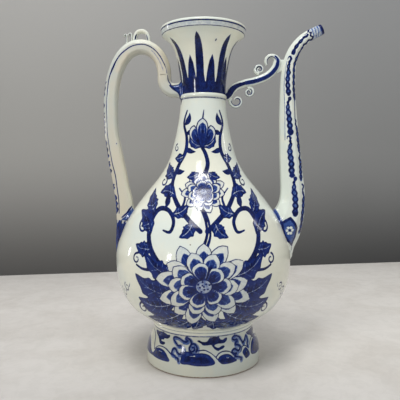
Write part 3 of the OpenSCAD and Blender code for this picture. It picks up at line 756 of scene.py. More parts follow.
# The bridge with its end curl, the web, the hook and the two small curls
bridge = {
    "thick": 7.6, "deep": 9, "low": 265.5, "high": 298, "seat": 0.5, "endCurl": 5.6, "endAngle": 212,
    "curve": [(0, -0.09), (0.075, 0.02), (0.12, 0.135), (0.207, 0.25), (0.368, 0.342), (0.556, 0.41), (0.746, 0.517),
              (0.877, 0.652), (0.97, 0.834), (1, 1)],
    "endShares": [1, 0.78, 0.6, 0.54, 0.52, 0.5, 0.43, 0.33], "hook": 7.2, "hookDrop": 6, "curl": 6.1,
    "band": 2.4, "lookBand": 3.7, "bandDeep": 6, "lowShare": 0.415, "highShare": 0.73,
    "webLow": 12, "webHigh": 4.5, "webDeepShare": 0.55, "webSteps": 28,
}
endX = spout["stem"][0] - spoutStem[2] / 2 - bridge["thick"] / 2 + bridge["seat"]
bridgeLine = smoothLine([(between(body["neck"], endX, a), between(bridge["low"], bridge["high"], b), bridge["thick"],
                          bridge["deep"]) for a, b in bridge["curve"]], 10)
endCurl = []
for f in np.linspace(0, 1, 40)[1:]:
    a = math.radians(bridge["endAngle"]) * f
    share = np.interp(f * (len(bridge["endShares"]) - 1), range(len(bridge["endShares"])), bridge["endShares"])
    endCurl.append((endX - bridge["endCurl"] + bridge["endCurl"] * math.cos(a),
                    bridge["high"] + bridge["endCurl"] * math.sin(a), bridge["thick"] * share,
                    bridge["deep"] * (1 - 0.3 * f)))
bridgePath = spaced(np.vstack([bridgeLine, endCurl]), 0.45)
bridgeBar = swept("bridgeBar", bridgePath, roundedSection(loop["section"], 0.3, 4, 7), bridgeGlaze)
settled(bridgeBar, fillet=0.8, reach=2)


def bridgeHeight(x):
    return np.interp(x, bridgeLine[:, 0], bridgeLine[:, 1])


# A curl that goes on inwards for some degrees, with a thinner band that ends round
def spiral(name, x, z, radius, start, end, innerShare, onwards, heartShare=0.3):
    points = []
    way = math.copysign(1, end - start)
    whole = abs(end - start) + onwards
    radius -= (bridge["lookBand"] - bridge["band"]) / 2
    for degrees in np.linspace(0, whole, 90):
        f = min(degrees / abs(end - start), 1)
        further = max(0, degrees - abs(end - start)) / onwards
        a = math.radians(start + way * degrees)
        r = radius * between(between(1, innerShare, f ** 1.4), heartShare, further)
        band = bridge["lookBand"] * (1 - 0.35 * f) * (1 - 0.35 * further)
        points.append((x + r * math.cos(a), z + r * math.sin(a), band, bridge["bandDeep"] * (1 - 0.25 * f)))
    return swept(name, spaced(points, 0.3), barSection, bridgeGlaze)


hookX = body["neck"] + mouth["ringBulge"] + bridge["hook"] + bridge["band"]
bridgeHook = spiral("bridgeHook", hookX, bridge["low"] - bridge["hookDrop"], bridge["hook"], 152, 440, 0.5, 70, 0.34)


def bridgeCurl(name, share, side, start, end, innerShare, onwards):
    x = between(body["neck"], endX, share)
    lean = math.degrees(math.atan2(bridgeHeight(x + bridge["band"]) - bridgeHeight(x - bridge["band"]),
                                   2 * bridge["band"]))
    off = side * (bridge["thick"] / 2 + bridge["curl"] - bridge["band"] * 0.25)
    return spiral(name, x - off * math.sin(math.radians(lean)), bridgeHeight(x) + off * math.cos(math.radians(lean)),
                  bridge["curl"] - bridge["band"] / 2, start + lean, end + lean, innerShare, onwards)


curlLower = bridgeCurl("bridgeCurlLower", bridge["lowShare"], -1, 97, -263, 0.5, 120)
curlUpper = bridgeCurl("bridgeCurlUpper", bridge["highShare"], 1, 240, -80, 0.6, 190)
webT = np.linspace(-1, 1, bridge["webSteps"])
webMiddle = bridge["high"] + (bridge["webHigh"] - bridge["webLow"]) / 2
webTall = bridge["webHigh"] + bridge["webLow"]
webPath = np.column_stack([between(endX, spout["stem"][0], (webT + 1) / 2), np.full(len(webT), webMiddle),
                           webTall * (0.7 + 0.3 * np.abs(webT) ** 2.4),
                           bridge["deep"] * bridge["webDeepShare"] * (0.86 + 0.14 * webT ** 2)])
webSection = roundedSection([(1, -1), (1, 1), (-1, 1), (-1, -1)], 0.5, 5, 12)
bridgeWeb = swept("bridgeWeb", webPath, webSection, bridgeGlaze)
sweptPieces = {"spout_front": spoutPiece, "handle_strap": handleStrap, "handle_stub": handleStub,
               "handle_leaf": handleLeaf, "handle_loop": handleLoop, "loop_curl_large": curlLarge,
               "loop_curl_small": curlSmall, "bridge_bar": bridgeBar, "bridge_web": bridgeWeb,
               "bridge_hook": bridgeHook, "bridge_curl_lower": curlLower, "bridge_curl_upper": curlUpper}
print("swept pieces ready")


# A brush for turned pieces: it turns to an angle seen from above, 0 in front and 180 behind
class RoundBrush(Brush):
    def __init__(self, pieces, outline, outerOnly):
        places = np.vstack([vertexPlaces(piece) for piece in pieces])
        self.outline = outline
        self.radius = np.hypot(places[:, 0], places[:, 1])
        self.angle = np.degrees(np.arctan2(places[:, 0], -places[:, 1]))
        self.outer = self.radius > self.radiusAt(places[:, 2]) - outerOnly
        super().__init__(pieces, np.zeros(len(places)), places[:, 2], self.outer)

    def radiusAt(self, z):
        return np.interp(z, self.outline[:, 1], self.outline[:, 0])

    def turnTo(self, centre, reach=90):
        off = (self.angle - centre + 180) % 360 - 180
        self.place[:, 0] = self.radius * np.radians(off)
        self.where = self.outer & (np.abs(off) < reach)

    # Points given by an angle in degrees and a height, in millimetres on the surface
    def round(self, points):
        points = np.array(points, float)
        return np.column_stack([np.radians(points[:, 0]) * self.radiusAt(points[:, 1]), points[:, 1]])

    # A painted ring all the way round
    def band(self, low, high, wash=0.0, waver=0.0):
        shift = np.sin(np.radians(self.angle * 5)) * np.cos(np.radians(self.angle * 3 + 40))
        heights = self.place[:, 1] + waver * shift
        gap = np.maximum(low - heights, heights - high)
        if wash:
            self.spread(self.outer, wash=wash * fading(gap, brushLook["bandEdge"]))
        else:
            self.spread(self.outer, gap)


# The mouth: two lines at the rim, and tall and short plantain leaves that grow from a dark band
mouthPaint = {
    "leaves": [(-50.5, -17), (-7.4, -3.4), (43, 4), (77, 8), (134, 3), (180, -4), (-130, 4), (-101, -9)],
    "tall": [(264, 13), (276, 11.4), (282, 9.1), (293.6, 8.6), (305, 7.4), (313, 5.2), (316.5, 2.8), (318.4, 0.4)],
    "short": [(264, 13), (276, 11.6), (282, 9.9), (289, 7.6), (294, 5.4), (299.6, 0.6)],
    "band": (264.4, 275.2), "rimLine": (326.3, 327.6), "lowLine": (322.3, 322.9), "rimWash": 0.16,
    "speck": [(22.1, 311.9), (23, 313)], "leafLow": 276,
    "ringLine": (260.2, 260.7), "ringDrop": [(-7, 266), (7, 266), (6, 260), (-6, 260)],
}


def mouthLeaf(brush, centre, lean, profile):
    brush.turnTo(centre, 60)
    top = profile[-1][0]
    sides = []
    for way in (-1, 1):
        side = []
        for z, half in profile:
            share = max(0, (z - mouthPaint["leafLow"]) / (top - mouthPaint["leafLow"]))
            side.append((way * half + lean * share ** 1.6, z))
        sides.append(side)
    brush.shape(brush.round(sides[0] + sides[1][::-1]), dark=True, steps=5)


brush = RoundBrush([trumpetMouth], mouthOuter, 1.6)
plan = mouthPaint
angles = sorted(a for a, lean in plan["leaves"])
for centre, lean in plan["leaves"]:
    mouthLeaf(brush, centre, lean, plan["tall"])
for a, b in zip(angles, angles[1:] + [angles[0] + 360]):
    mouthLeaf(brush, (a + b) / 2, (b - a - 45) * 0.2, plan["short"])
brush.band(*plan["band"], waver=0.5)
brush.band(*plan["rimLine"])
brush.band(*plan["lowLine"])
brush.band(plan["lowLine"][1], plan["rimLine"][0], wash=plan["rimWash"])
brush.turnTo(0)
brush.line(brush.round(plan["speck"]), 1.1)
brush.finish()
brush = RoundBrush([neckRing], outerLine, 1.0)
brush.band(*plan["ringLine"], wash=0.5)
brush.turnTo(-90, 25)
brush.shape(plan["ringDrop"], dark=True, steps=1)
brush.finish()
print("mouth painted")

# The foot: clouds, foam and swelling waves between two plain edges, as a strip that is painted three times
footPaint = {
    "cloudA": [(-6.5, 32.9), (-4.3, 33.4), (-1.8, 32.3), (2, 32), (4.5, 33), (6.2, 35.2), (9.6, 35.6),
               (13.1, 35.9), (16.6, 35.6), (18.3, 33.6), (20.9, 33), (23.3, 34.2), (25.7, 34.3), (25.5, 32.1),
               (22.4, 30), (18.8, 29.7), (15.7, 29.8), (12.3, 29.2), (11.3, 28.3), (13.7, 26.8), (15.8, 26.6),
               (18, 27.4), (20.3, 28), (22.2, 27.3), (20.8, 25.8), (17.1, 24.5), (14.2, 23.9), (11.1, 25.6),
               (8.8, 28), (7.7, 29.1), (4, 28.9), (-0.5, 29), (-3, 30.6), (-5.9, 31.9)],
    "cloudB": [(55, 34), (63, 34.6), (71, 35.5), (77.5, 34.3), (81, 34.6), (81.3, 32.6), (78.2, 30.6), (74, 30.1),
               (73.2, 28.9), (69.4, 28), (70.7, 27.1), (75.3, 27.1), (76.3, 25.6), (73.6, 24.3), (68.6, 24.6),
               (65.6, 26.8), (62, 29.6), (57, 31.2)],
    "foams": [
        [(-24.9, 27.3), (-27.1, 27.1), (-29.5, 28.8), (-32.7, 31.1), (-33, 33.4), (-30.3, 34.2), (-25.8, 33.2),
         (-21.9, 31.5), (-18.7, 31.1), (-16.6, 32.3), (-18.7, 33.6), (-18.5, 34.9), (-15.7, 34.2), (-13.1, 31.9),
         (-12.8, 29.2), (-14.3, 26.4), (-13.6, 24.2), (-11.4, 23.5), (-9.1, 24.7), (-9.4, 26.7), (-11.2, 26.9)],
        [(-12.1, 29.6), (-9.6, 30), (-7, 28.1), (-6.4, 25.5), (-7.3, 23.4)],
        [(-24.9, 27.3), (-22.1, 27), (-20.3, 24.9), (-21.3, 22.7), (-23.4, 20.1), (-26, 21.1), (-27.9, 22.9),
         (-29.7, 24.4), (-31.8, 23.4), (-32.5, 20.8), (-31.9, 18.9), (-29, 18.4), (-27.4, 16.9), (-25.2, 16.6),
         (-24.2, 13.9)],
        [(41.7, 32.8), (36, 34.6), (33, 33.6), (32.5, 31.8), (34.9, 30.8), (37.9, 30.9), (38.3, 29.3),
         (35.2, 28.2), (34.9, 26.6), (38.2, 26), (40.3, 24.1), (38.9, 22.3), (36.5, 21.2), (33.1, 23.5),
         (30.5, 22.9), (29.2, 21.4), (31.4, 19.7), (34, 19.6), (32.6, 18.1), (31.7, 17.2), (35.1, 16.2),
         (38.8, 14.7), (38, 12.7)],
        [(41.7, 32.8), (44.2, 29), (45.6, 26.5), (49.5, 28.6), (53.3, 31.8), (54.3, 27.5), (51.4, 24.6),
         (51.7, 22.2)]],
    "domes": [
        [(-21.5, 15.7), (-20.8, 19.8), (-18.7, 22.4), (-13.9, 22.8), (-10.6, 21.7), (-7.5, 21.6), (-1.3, 22),
         (4.1, 21), (7.8, 18.2), (9.9, 15.4), (9.8, 13.3), (4.6, 12), (-4.2, 11.8), (-7.1, 11.9), (-14.6, 12.6),
         (-20.9, 12.6)],
        [(14.2, 16.5), (15.6, 18.7), (19.8, 20), (24.8, 19.7), (27.9, 17.9), (31.1, 14.9), (32.7, 13.5),
         (27.3, 12.7), (21.4, 12.5), (17.5, 13), (14.5, 15.4)],
        [(42.2, 18.9), (46.8, 21.4), (49.7, 19.3), (51.5, 15.1), (49, 13.6), (45.2, 13.1), (43.4, 15.8)],
        [(54.5, 15), (56.5, 20), (61, 23.6), (67, 25), (73, 24.8), (79.1, 23), (83.4, 20), (86.1, 16.4),
         (86.1, 13), (79, 12.4), (72, 12.3), (61.9, 12.6)]],
    "leftDomes": [
        [(22, 12), (23, 17), (28, 22), (38, 24), (46, 22.5), (52, 18.5), (57, 14.5), (59.5, 12)],
        [(62.5, 12), (63.5, 16.5), (66, 19.4), (72, 20.4), (78, 19.2), (82.5, 16), (84.5, 12)]],
    "leftArcs": [[(38, 34), (47, 32.5), (53.8, 30), (58.8, 24), (62.1, 17.6)],
                 [(63, 18.5), (67, 21.6), (72.5, 22.8), (78.5, 22.4), (83.4, 20.6), (87, 18.6)]],
    "arcs": [[(-6, 24.3), (0.3, 25), (4.9, 23.6), (9.5, 20.8), (13.1, 17.2), (16.7, 13.1)],
             [(12.1, 19), (15.1, 21.7), (19.4, 23), (24.5, 22.7), (28.6, 20.8), (30.8, 18.4)],
             [(55, 22.5), (60, 26), (67, 27.6), (74.8, 27.2), (80.7, 25.3), (84.9, 22.4), (87.7, 18.1)],
             [(40, 20), (43.5, 23.6), (47.5, 23.5), (51.5, 20.5)]],
    "dashes": [[(-13.5, 19.4), (-8, 19.9)], [(46.5, 17.6), (48, 18.3)], [(22, 17.5), (25, 17)],
               [(70, 18), (75, 18.4)]],
    "topLine": (36.05, 36.75), "shift": 25,
}
plan = footPaint
brush = RoundBrush([footRing], footOutline, 1.2)
here = lambda points: brush.round(np.array(points) - [plan["shift"], 0])
for turn in (0, 120, 240):
    brush.turnTo(turn + plan["shift"], 85)
    left = turn == 240
    for dome in plan["domes"][:1] + plan["leftDomes"] if left else plan["domes"]:
        points = here(dome)
        low, high = points[:, 1].min(), points[:, 1].max()
        brush.shape(points, 1.0, 1.1, lambda s: np.clip(1.15 - 0.4 * (s[:, 1] - low) / (high - low), 0, 1))
        middle = points.mean(0)
        brush.shape(middle - [0, 0.6] + (points - middle) * [0.8, 0.62], dark=True)
    for arc in plan["arcs"][:1] + plan["leftArcs"] if left else plan["arcs"]:
        brush.line(here(arc), 1, 5)
    for foam in plan["foams"][:3] if left else plan["foams"]:
        brush.line(here(foam), 1.6, 5)
        brush.line(here(foam) + [0.5, -0.7], 3.8, 5, wash=0.36)
    for cloud in (plan["cloudA"], plan["cloudB"]):
        brush.shape(here(cloud), dark=True)
    for dash in plan["dashes"]:
        (a, b), (c, d) = here(dash)
        brush.shape([(a, b - 0.35), (c, d - 0.35), (c, d + 0.35), (a, b + 0.35)], 0.05, steps=1)
brush.band(*plan["topLine"])
brush.finish()
brush = RoundBrush([footCollar], np.array([(foot["waist"], 30), (foot["waist"], 50)]), 2)
brush.band(foot["height"], foot["height"] + 0.5, wash=0.5)
brush.band(stepZ - 0.25, stepZ + 0.35, wash=0.3)
brush.finish()
print("foot painted")

# The belly: a large blossom in a bed of leaves, and a vine that climbs to the neck, in front and behind. Vines,
# curls, twigs, leaves and the bed are given for one side of the middle and drawn on both.
bellyPaint = {
    "blossom": (0, 92, 42, 13, 1.0), "upper": (0, 171, 20, 11, 1.0), "bud": (-1, 218),
    "stems": [([(0, 122), (4, 134), (3, 146), (-1, 156)], [6, 5.2, 4.6, 4.2]),
              ([(1, 186), (4, 196), (2, 206), (-2, 214), (-1, 220)], [4.4, 4, 3.6, 3.2, 2.8])],
    "stemLight": [(1.5, 126), (4.4, 135), (3.2, 146)],
    "vines": [([(30, 104), (42, 112), (51, 126), (52, 142), (44, 155), (33, 155), (27, 146), (30, 137), (37, 138)],
               [6, 5.6, 5.2, 4.8, 4.4, 4, 3.4, 2.8, 1.6]),
              ([(3, 138), (13, 147), (24, 160), (31, 177), (26, 194), (18, 208), (17, 222), (21, 236), (17, 248)],
               [4.2, 4.4, 4.4, 4.2, 4, 3.8, 3.4, 2.8, 1.6]),
              ([(20, 156), (17, 166), (23, 174)], [2.4, 2, 0.9])],
    "curls": [(61, 140, 6.4, 90, -420, 2.4), (43, 180, 5.2, 90, 400, 2), (30, 212, 4, 90, -380, 1.6),
              (60, 66, 6, 100, -400, 2.2), (66, 112, 5, 80, -400, 2)],
    "twigs": [([(34, 66), (48, 62), (59, 72)], [3.4, 2.8, 2]), ([(48, 104), (58, 104), (66, 106.8)], [3, 2.4, 1.8])],
    "leaves": [((51, 134), (69, 153), 0.14, 15), ((48, 152), (55, 173), -0.12, 14), ((49, 122), (68, 124), -0.1, 12),
               ((27, 168), (44, 170), 0.14, 12), ((30, 184), (42, 198), -0.12, 11), ((20, 204), (31, 202), -0.1, 8),
               ((28, 152), (14, 160), 0.14, 9), ((10, 145), (21, 133), -0.14, 10)],
    "darkLeaves": [((36, 157), (35, 171), 0.1, 6), ((18, 212), (7, 208), 0.12, 5), ((18, 226), (9, 230), 0.12, 5),
                   ((20, 234), (14, 246), 0.16, 6), ((29, 190), (18, 190), 0.1, 5.6)],
    "bed": [((22, 84), (67, 98), -0.12, 21, 4), ((24, 100), (56, 119), -0.12, 16, 3),
            ((26, 76), (64, 76), -0.14, 20, 4), ((18, 68), (56, 56), -0.12, 19, 4),
            ((12, 60), (36, 46.5), -0.1, 16, 3)],
    "lowLeaves": [((-4, 64), (-9, 46)), ((6, 64), (9, 46))], "upperLeaf": ((5, 188), (15, 184), -0.1, 7, 1),
    "sprays": [(-9, 83, 4.6), (0, 77, 5), (8, 69, 4.2)],
    "neckLine": (259.6, 260.4), "lowLine": (44.1, 44.9),
    "drop": [(-2.4, 260.6), (2.2, 260.6), (1.6, 257.5), (0.2, 254.4), (-1.6, 257.5)],
}


# A petal or a leaf as an outline about a bent middle line, with a shape given by (share, half width) pairs
def bentOutline(start, end, bend, width, profile, steps=14):
    start, end = np.array(start, float), np.array(end, float)
    run = end - start
    side = np.array([-run[1], run[0]])
    t = np.linspace(0, 1, steps)[:, None]
    middle = start + run * t + side * bend * 4 * t * (1 - t)
    slope = run + side * bend * 4 * (1 - 2 * t)
    normal = np.stack([-slope[:, 1], slope[:, 0]], 1) / np.linalg.norm(slope, axis=1)[:, None]
    half = np.interp(t[:, 0], [p[0] for p in profile], [p[1] for p in profile])[:, None] * width / 2
    return middle, np.vstack([middle + normal * half, (middle - normal * half)[::-1]])


leafProfile = [(0, 0.08), (0.12, 0.5), (0.3, 0.95), (0.45, 1), (0.65, 0.78), (0.82, 0.42), (1, 0.02)]
petalProfile = [(0, 0.3), (0.25, 0.62), (0.5, 0.92), (0.7, 1), (0.85, 0.78), (0.94, 0.45), (1, 0.04)]


def roundSpot(x, z, across, up, steps=10):
    return [(x + across * math.cos(a), z + up * math.sin(a)) for a in np.linspace(0, 2 * math.pi, steps + 1)[:-1]]


# A brush for turned pieces that knows petals, leaves, curls and blossoms
class PlantBrush(RoundBrush):
    # A pale edge between a dark outline and a dark heart with a few pale streaks
    def petal(self, start, end, bend, width, wash=0.95, rim=0.84, line=1.1):
        start, end = np.array(start, float), np.array(end, float)
        self.shape(bentOutline(start, end, bend, width, petalProfile)[1], 0.12, line, steps=1)
        heart = start + (end - start) * rim
        reach = np.linalg.norm(heart - start)
        self.shape(bentOutline(start, heart, bend, width * (rim - 0.06), petalProfile)[1], wash, 0,
                   lambda s: np.clip(1.25 - np.hypot(*(s - start).T) / reach * 0.45, 0, 1), steps=1, cover=False)
        core = bentOutline(start, start + (end - start) * 0.58, bend, width * 0.5, petalProfile)[1]
        self.shape(core, dark=True, steps=1)
        side = np.array([-(end - start)[1], (end - start)[0]]) / max(np.linalg.norm(end - start), 1e-6) * width
        for way in (-0.14, 0.14):
            self.scrape([between(start, end, 0.45) + side * way, between(start, end, 0.76) + side * way * 1.25],
                        [0.5, 0.25], 2, 0.35)

    # A leaf as one dark mass, with pale veins scraped out of it
    def fullLeaf(self, start, end, bend, width, veins=3):
        start, end = np.array(start, float), np.array(end, float)
        middle, outline = bentOutline(start, end, bend, width, leafProfile)
        centre = np.vstack([middle, middle[::-1]])
        lobes = outline + (outline - centre) * 0.13 * np.cos(np.arange(len(outline)) * 2.1)[:, None]
        self.shape(lobes, 1.0, 1.2, steps=3)
        core = bentOutline(start, between(start, end, 0.8), bend, width * 0.5, leafProfile)[1]
        self.shape(core, dark=True, steps=1)
        self.scrape(middle[1:-2], [0.7] * 4 + [0.55] * (len(middle) - 7), 3)
        for k in range(2, 2 + veins * 2, 2):
            for row in (lobes[k + 2], lobes[len(lobes) - 3 - k]):
                self.scrape([middle[k], between(middle[k], row, 0.75)], [0.55, 0.3], 2, 0.3)

    def darkLeaf(self, start, end, bend, width):
        self.shape(bentOutline(start, end, bend, width, leafProfile)[1], dark=True, steps=2)

    def curl(self, x, z, radius, start, degrees, width):
        turns = np.linspace(0, 1, 22)
        angles = np.radians(between(start, start + degrees, turns))
        reach = radius * between(1, 0.25, turns ** 0.9)
        self.line(np.column_stack([x + reach * np.cos(angles), z + reach * np.sin(angles)]),
                  between(width, width * 0.5, turns), 2)

    def blossom(self, x, z, size, petals, wash):
        rings = [(1, petals, 0, 1), (0.78, petals - 3, 0.5, 0.8), (0.54, petals - 6, 0.2, 1)]
        for ring, (share, count, offset, depth) in enumerate(rings):
            for k in range(count):
                a = math.radians(90 + (k + offset) * 360 / count)
                long = size * share * (1 + 0.07 * math.sin(k * 2.3 + ring))
                tip = (x + long * math.cos(a), z + long * math.sin(a) * 0.86)
                root = (x + size * 0.12 * math.cos(a), z + size * 0.12 * math.sin(a))
                self.petal(root, tip, 0.07 * math.sin(k * 1.7), size * share * 4.4 / count, wash * depth, 0.8, 0.8)
        self.shape(roundSpot(x, z, size * 0.17, size * 0.15, 14), 0.3, 1.3)
        for k in range(10):
            a, far = k * 2.4, size * 0.042 * math.sqrt(k)
            spot = (x + far * math.cos(a), z + far * math.sin(a))
            self.line([spot, (spot[0] + 0.3, spot[1])], size * 0.04, 2)


plan = bellyPaint
brush = PlantBrush([lowerBody, upperBody, neck], outerLine, 1.4)
brush.band(*plan["neckLine"])
brush.band(*plan["lowLine"], wash=0.45)
# the drop that hangs from the handle's terminal
for side in (-74, -106):
    brush.turnTo(side, 30)
    brush.shape(plan["drop"], dark=True, steps=3)


# The same leaf on both sides of the middle
def pair(draw, start, end, bend, *given):
    for way in (-1, 1):
        draw((way * start[0], start[1]), (way * end[0], end[1]), way * bend, *given)


for facing in (0, 180):
    brush.turnTo(facing, 88)
    for points, widths in plan["stems"]:
        brush.line(points, widths)
    brush.scrape(plan["stemLight"], [0.3, 0.7, 0.3], level=0.45)
    for way in (-1, 1):
        for points, widths in plan["vines"]:
            brush.line([(way * x, z) for x, z in points], widths)
            brush.line([(way * (x - 0.6), z) for x, z in points[1:4]], 1.2, wash=0.4)
        for x, z, radius, start, degrees, width in plan["curls"]:
            brush.curl(way * x, z, radius, start, way * degrees, width)
        for points, widths in plan["twigs"]:
            brush.line([(way * x, z) for x, z in points], widths)
    for given in plan["leaves"]:
        pair(brush.fullLeaf, *given, 2)
    for given in plan["darkLeaves"]:
        pair(brush.darkLeaf, *given)
    for given in plan["bed"]:
        pair(brush.fullLeaf, *given)
    for start, end in plan["lowLeaves"]:
        brush.fullLeaf(start, end, 0.05, 14)
    brush.blossom(*plan["blossom"])
    brush.blossom(*plan["upper"])
    pair(brush.fullLeaf, *plan["upperLeaf"])
    x, z = plan["bud"]
    for way in (-1, 1):
        brush.fullLeaf((x + way, z - 5), (x + way * 12, z + 6), -way * 0.2, 7, 1)
        brush.petal((x + way, z - 3), (x + way * 8, z + 15), -way * 0.18, 9, 1.0)
    brush.petal((x, z - 4), (x + 0.5, z + 22), 0.02, 11, 1.0)
    brush.line([(x + 0.5, z + 23), (x + 1.5, z + 30)], [1.6, 0.7])
    print("belly painted at", facing)
# small scroll sprays low on the sides
for side, way in ((-62, -1), (62, 1), (118, -1), (-118, 1)):
    brush.turnTo(side, 30)
    for x, z, size in plan["sprays"]:
        brush.curl(way * x, z, size, 120, -way * 430, 1.5)
        brush.line([(way * (x - size), z + 1), (way * (x - size - 3), z + 5)], [1.2, 0.5])
brush.finish()
print("body painted")


# A brush for swept pieces: across is the way round the section from the middle of its front, towards the
# right side of the path, and up is the length along the path. What it paints in front it paints behind too.
class PathBrush(Brush):
    def __init__(self, piece, name, outer=(0.5, 0.62), inner=None):
        self.corners = {1: outer, -1: inner or outer}
        path, sides, lengths = madePaths[name]
        shown = lengths >= 0
        self.lengths, self.path = lengths[shown], path[shown]
        along = vertexValues(piece.data.attributes["along"].data, "value", 1)[:, 0]
        places = vertexPlaces(piece)
        look = lambda numbers: np.interp(along, self.lengths, numbers)
        off = (places[:, 0] - look(self.path[:, 0])) * look(sides[shown][:, 0])
        off += (places[:, 2] - look(self.path[:, 1])) * look(sides[shown][:, 2])
        back = -np.abs(places[:, 1])
        half, deep = look(self.path[:, 2]) / 2, look(self.path[:, 3]) / 2
        best, across = np.full(len(off), 1e9), np.zeros(len(off))
        for way in (-1, 1):
            a, b = self.corners[way]
            chain = [(0, -1), (way * a, -1), (way, -b), (way, 0)]
            run = np.zeros(len(off))
            for (p, q), (r, s) in zip(chain[:-1], chain[1:]):
                x, y, dx, dy = p * half, q * deep, (r - p) * half, (s - q) * deep
                long = np.hypot(dx, dy)
                t = np.clip(((off - x) * dx + (back - y) * dy) / np.maximum(long ** 2, 1e-9), 0, 1)
                gap = np.hypot(off - x - t * dx, back - y - t * dy)
                closer = gap < best
                across = np.where(closer, way * (run + t * long), across)
                best = np.minimum(best, gap)
                run = run + long
        super().__init__([piece], across, along, along >= 0)

    # Points seen from the front, as (length along, way to the side), turned into places on the surface
    def seen(self, points):
        out = []
        for along, off in points:
            half = np.interp(along, self.lengths, self.path[:, 2]) / 2
            deep = np.interp(along, self.lengths, self.path[:, 3]) / 2
            way = 1 if off > 0 else -1
            a, b = self.corners[way]
            share = min(abs(off) / half, 1)
            bevel = max(0, (share - a) / (1 - a)) * math.hypot((1 - a) * half, (1 - b) * deep)
            out.append((way * (min(share, a) * half + bevel), along))
        return out

    def draw(self, points, widths, wash=0.0):
        self.line(self.seen(points), widths, wash=wash)


# The spout: strings of beads down its front flat, a second string down the bevel, and a lozenge at its base
spoutPaint = {
    "strings": [
        ([(222, -1.2), (219, -1.1), (214, -0.6), (209, -0.6), (204, -0.7), (198.5, -0.3)], 1.9),
        ([(195, -1.7), (191, -0.5), (186, -1.5), (180, -0.9), (173, -1.3), (165, -0.7), (158.5, 0)], 3.2),
        ([(155.5, 1.4), (151, -0.2), (146, -1.2), (139, -0.6), (132, -0.2), (126, 0.1), (120, 0.4)], 3.9),
        ([(117.5, -1.6), (112, 0), (105, -1.6), (98, -1.3), (91, -0.9), (84, -1.2), (78.5, -1)], 4.2),
        ([(76.5, 2.3), (71.5, 0.6), (65, -0.4), (59, 0.5), (53, 1.3), (47, 2.2), (41, 3.2)], 4.4)],
    "bevel": [(225, 4.2), (214.2, 4.3), (204, 5.3), (196.8, 5.1), (187.2, 4.3), (176, 5), (165, 5.4), (154, 6.3)],
    "bevelLow": [(134, 5.8), (123, 7.4), (113.4, 7.9), (103.2, 8.3)],
    "squiggles": [
        ([(102, 7.8), (98, 9.2), (95, 7.9), (91, 9.4), (88, 8.6), (82, 8.4), (74, 8)], 10, 2.2),
        ([(69, 8.6), (66, 10), (62, 8.9), (58, 10.4), (54, 9.9), (53.5, 10.3), (47, 11), (41, 11.6), (36, 13),
          (32, 14.4), (28, 15)], 12, 2.3)],
    "ridge": [(190, -3.6), (167, -4.3), (143, -4.1), (114, -5.4)],
    "lozenge": [(36, -0.3), (33, 5.5), (29.4, 10), (22, 12.4), (14.5, 13.4), (16, 7.5), (18, 1.8), (22.5, -2.8),
                (27.5, -6.2), (32, -3.6)],
    "floret": (25, 3.8), "stalk": [(15, 13), (10, 14.8), (6, 15.4)],
    "rootLine": 1.3, "rootFrom": 128, "rootFade": 12, "tipEdge": 224.6, "tipBand": 226, "tipRim": 235.6,
    "scroll": [(-1.4, -6), (0.6, -2), (-0.8, 3), (0.8, 7)], "scrollWidths": [0.7, 1.7, 1.5, 0.7],
    "scrollLow": 60, "scrollStep": 17, "backShare": 1.656,
}
plan = spoutPaint
brush = PathBrush(spoutPiece, "spout", (math.tan(math.pi / 8),) * 2)


# Two wavering lines that cross and enclose paler beads, from a thin hooked start to a round end
def beadString(points, reach, period, ink, wash=0.5):
    run = spaced(smoothLine(brush.seen(points), 8), 0.7)
    along = lengthsAlong(run)
    swell = reach * np.clip(-0.25 + 3.4 * along / along[-1], 0.05, 1)
    wave = swell * np.sin(along / period * 2 * math.pi)
    brush.line(run, swell * 2.1, 1, wash=wash)
    hook = along < along[-1] * 0.22
    brush.line(run[hook] + np.column_stack([1.1 * np.sin(along[hook] * 0.9), 0 * along[hook]]), 1.9, 1)
    for way in (1, -1):
        brush.line(np.column_stack([run[:, 0] + way * wave, run[:, 1]]), between(1.15, ink, along / along[-1]), 1)
    return run


for points, width in plan["strings"]:
    run = beadString(points, width * 0.55, 12.5, 2.25, 0.42)
    x, z = run[-1]
    brush.shape(roundSpot(x, z + width * 0.1, width * 0.56, width * 0.6), dark=True, steps=2)
    x, z = run[0]
    brush.line([(x, z), (x - 1.6, z - 0.6), (x - 1.9, z - 3)], [1.6, 1.4, 0.7], 4)
beadString(plan["bevel"], 1.5, 13, 2.1)
brush.draw([plan["bevel"][-1], (144, 6), plan["bevelLow"][0]], 1.4)
beadString(plan["bevelLow"], 1.7, 12, 2.3)
for points, period, ink in plan["squiggles"]:
    beadString(points, 2, period, ink)
brush.draw(plan["ridge"], 0.8, 0.4)
brush.shape(brush.seen(plan["lozenge"]), 0.52, 2.7, steps=1)
x, z = brush.seen([plan["floret"]])[0]
for k in range(6):
    a = math.radians(30 + 60 * k)
    brush.shape(roundSpot(x + 2.7 * math.cos(a), z + 2.9 * math.sin(a), 1.5, 1.6), 0.02, 0.5, steps=2)
brush.shape(roundSpot(x, z, 0.9, 0.9, 6), dark=True, steps=2)
brush.draw(plan["stalk"], [1.3, 1.1, 0.6])
# a line where the spout springs from the belly
places = vertexPlaces(spoutPiece)
lift = np.hypot(places[:, 0], places[:, 1]) - bodyRadius(places[:, 2])
high = np.clip((places[:, 2] - plan["rootFrom"]) / plan["rootFade"], 0, 1)
brush.spread(brush.where & (places[:, 2] > plan["rootFrom"]), np.abs(lift - plan["rootLine"]) - 0.55 * high,
             0.5 * high * np.clip((4.2 - lift) / 1.2, 0, 1))
# the back of the spout, which faces away from the body, carries a plain running scroll
for k in range(9):
    z = plan["scrollLow"] + k * plan["scrollStep"]
    x = plan["backShare"] * np.interp(z, brush.lengths, brush.path[:, 2]) / 2
    brush.line([(x + off, z + further) for off, further in plan["scroll"]], plan["scrollWidths"])
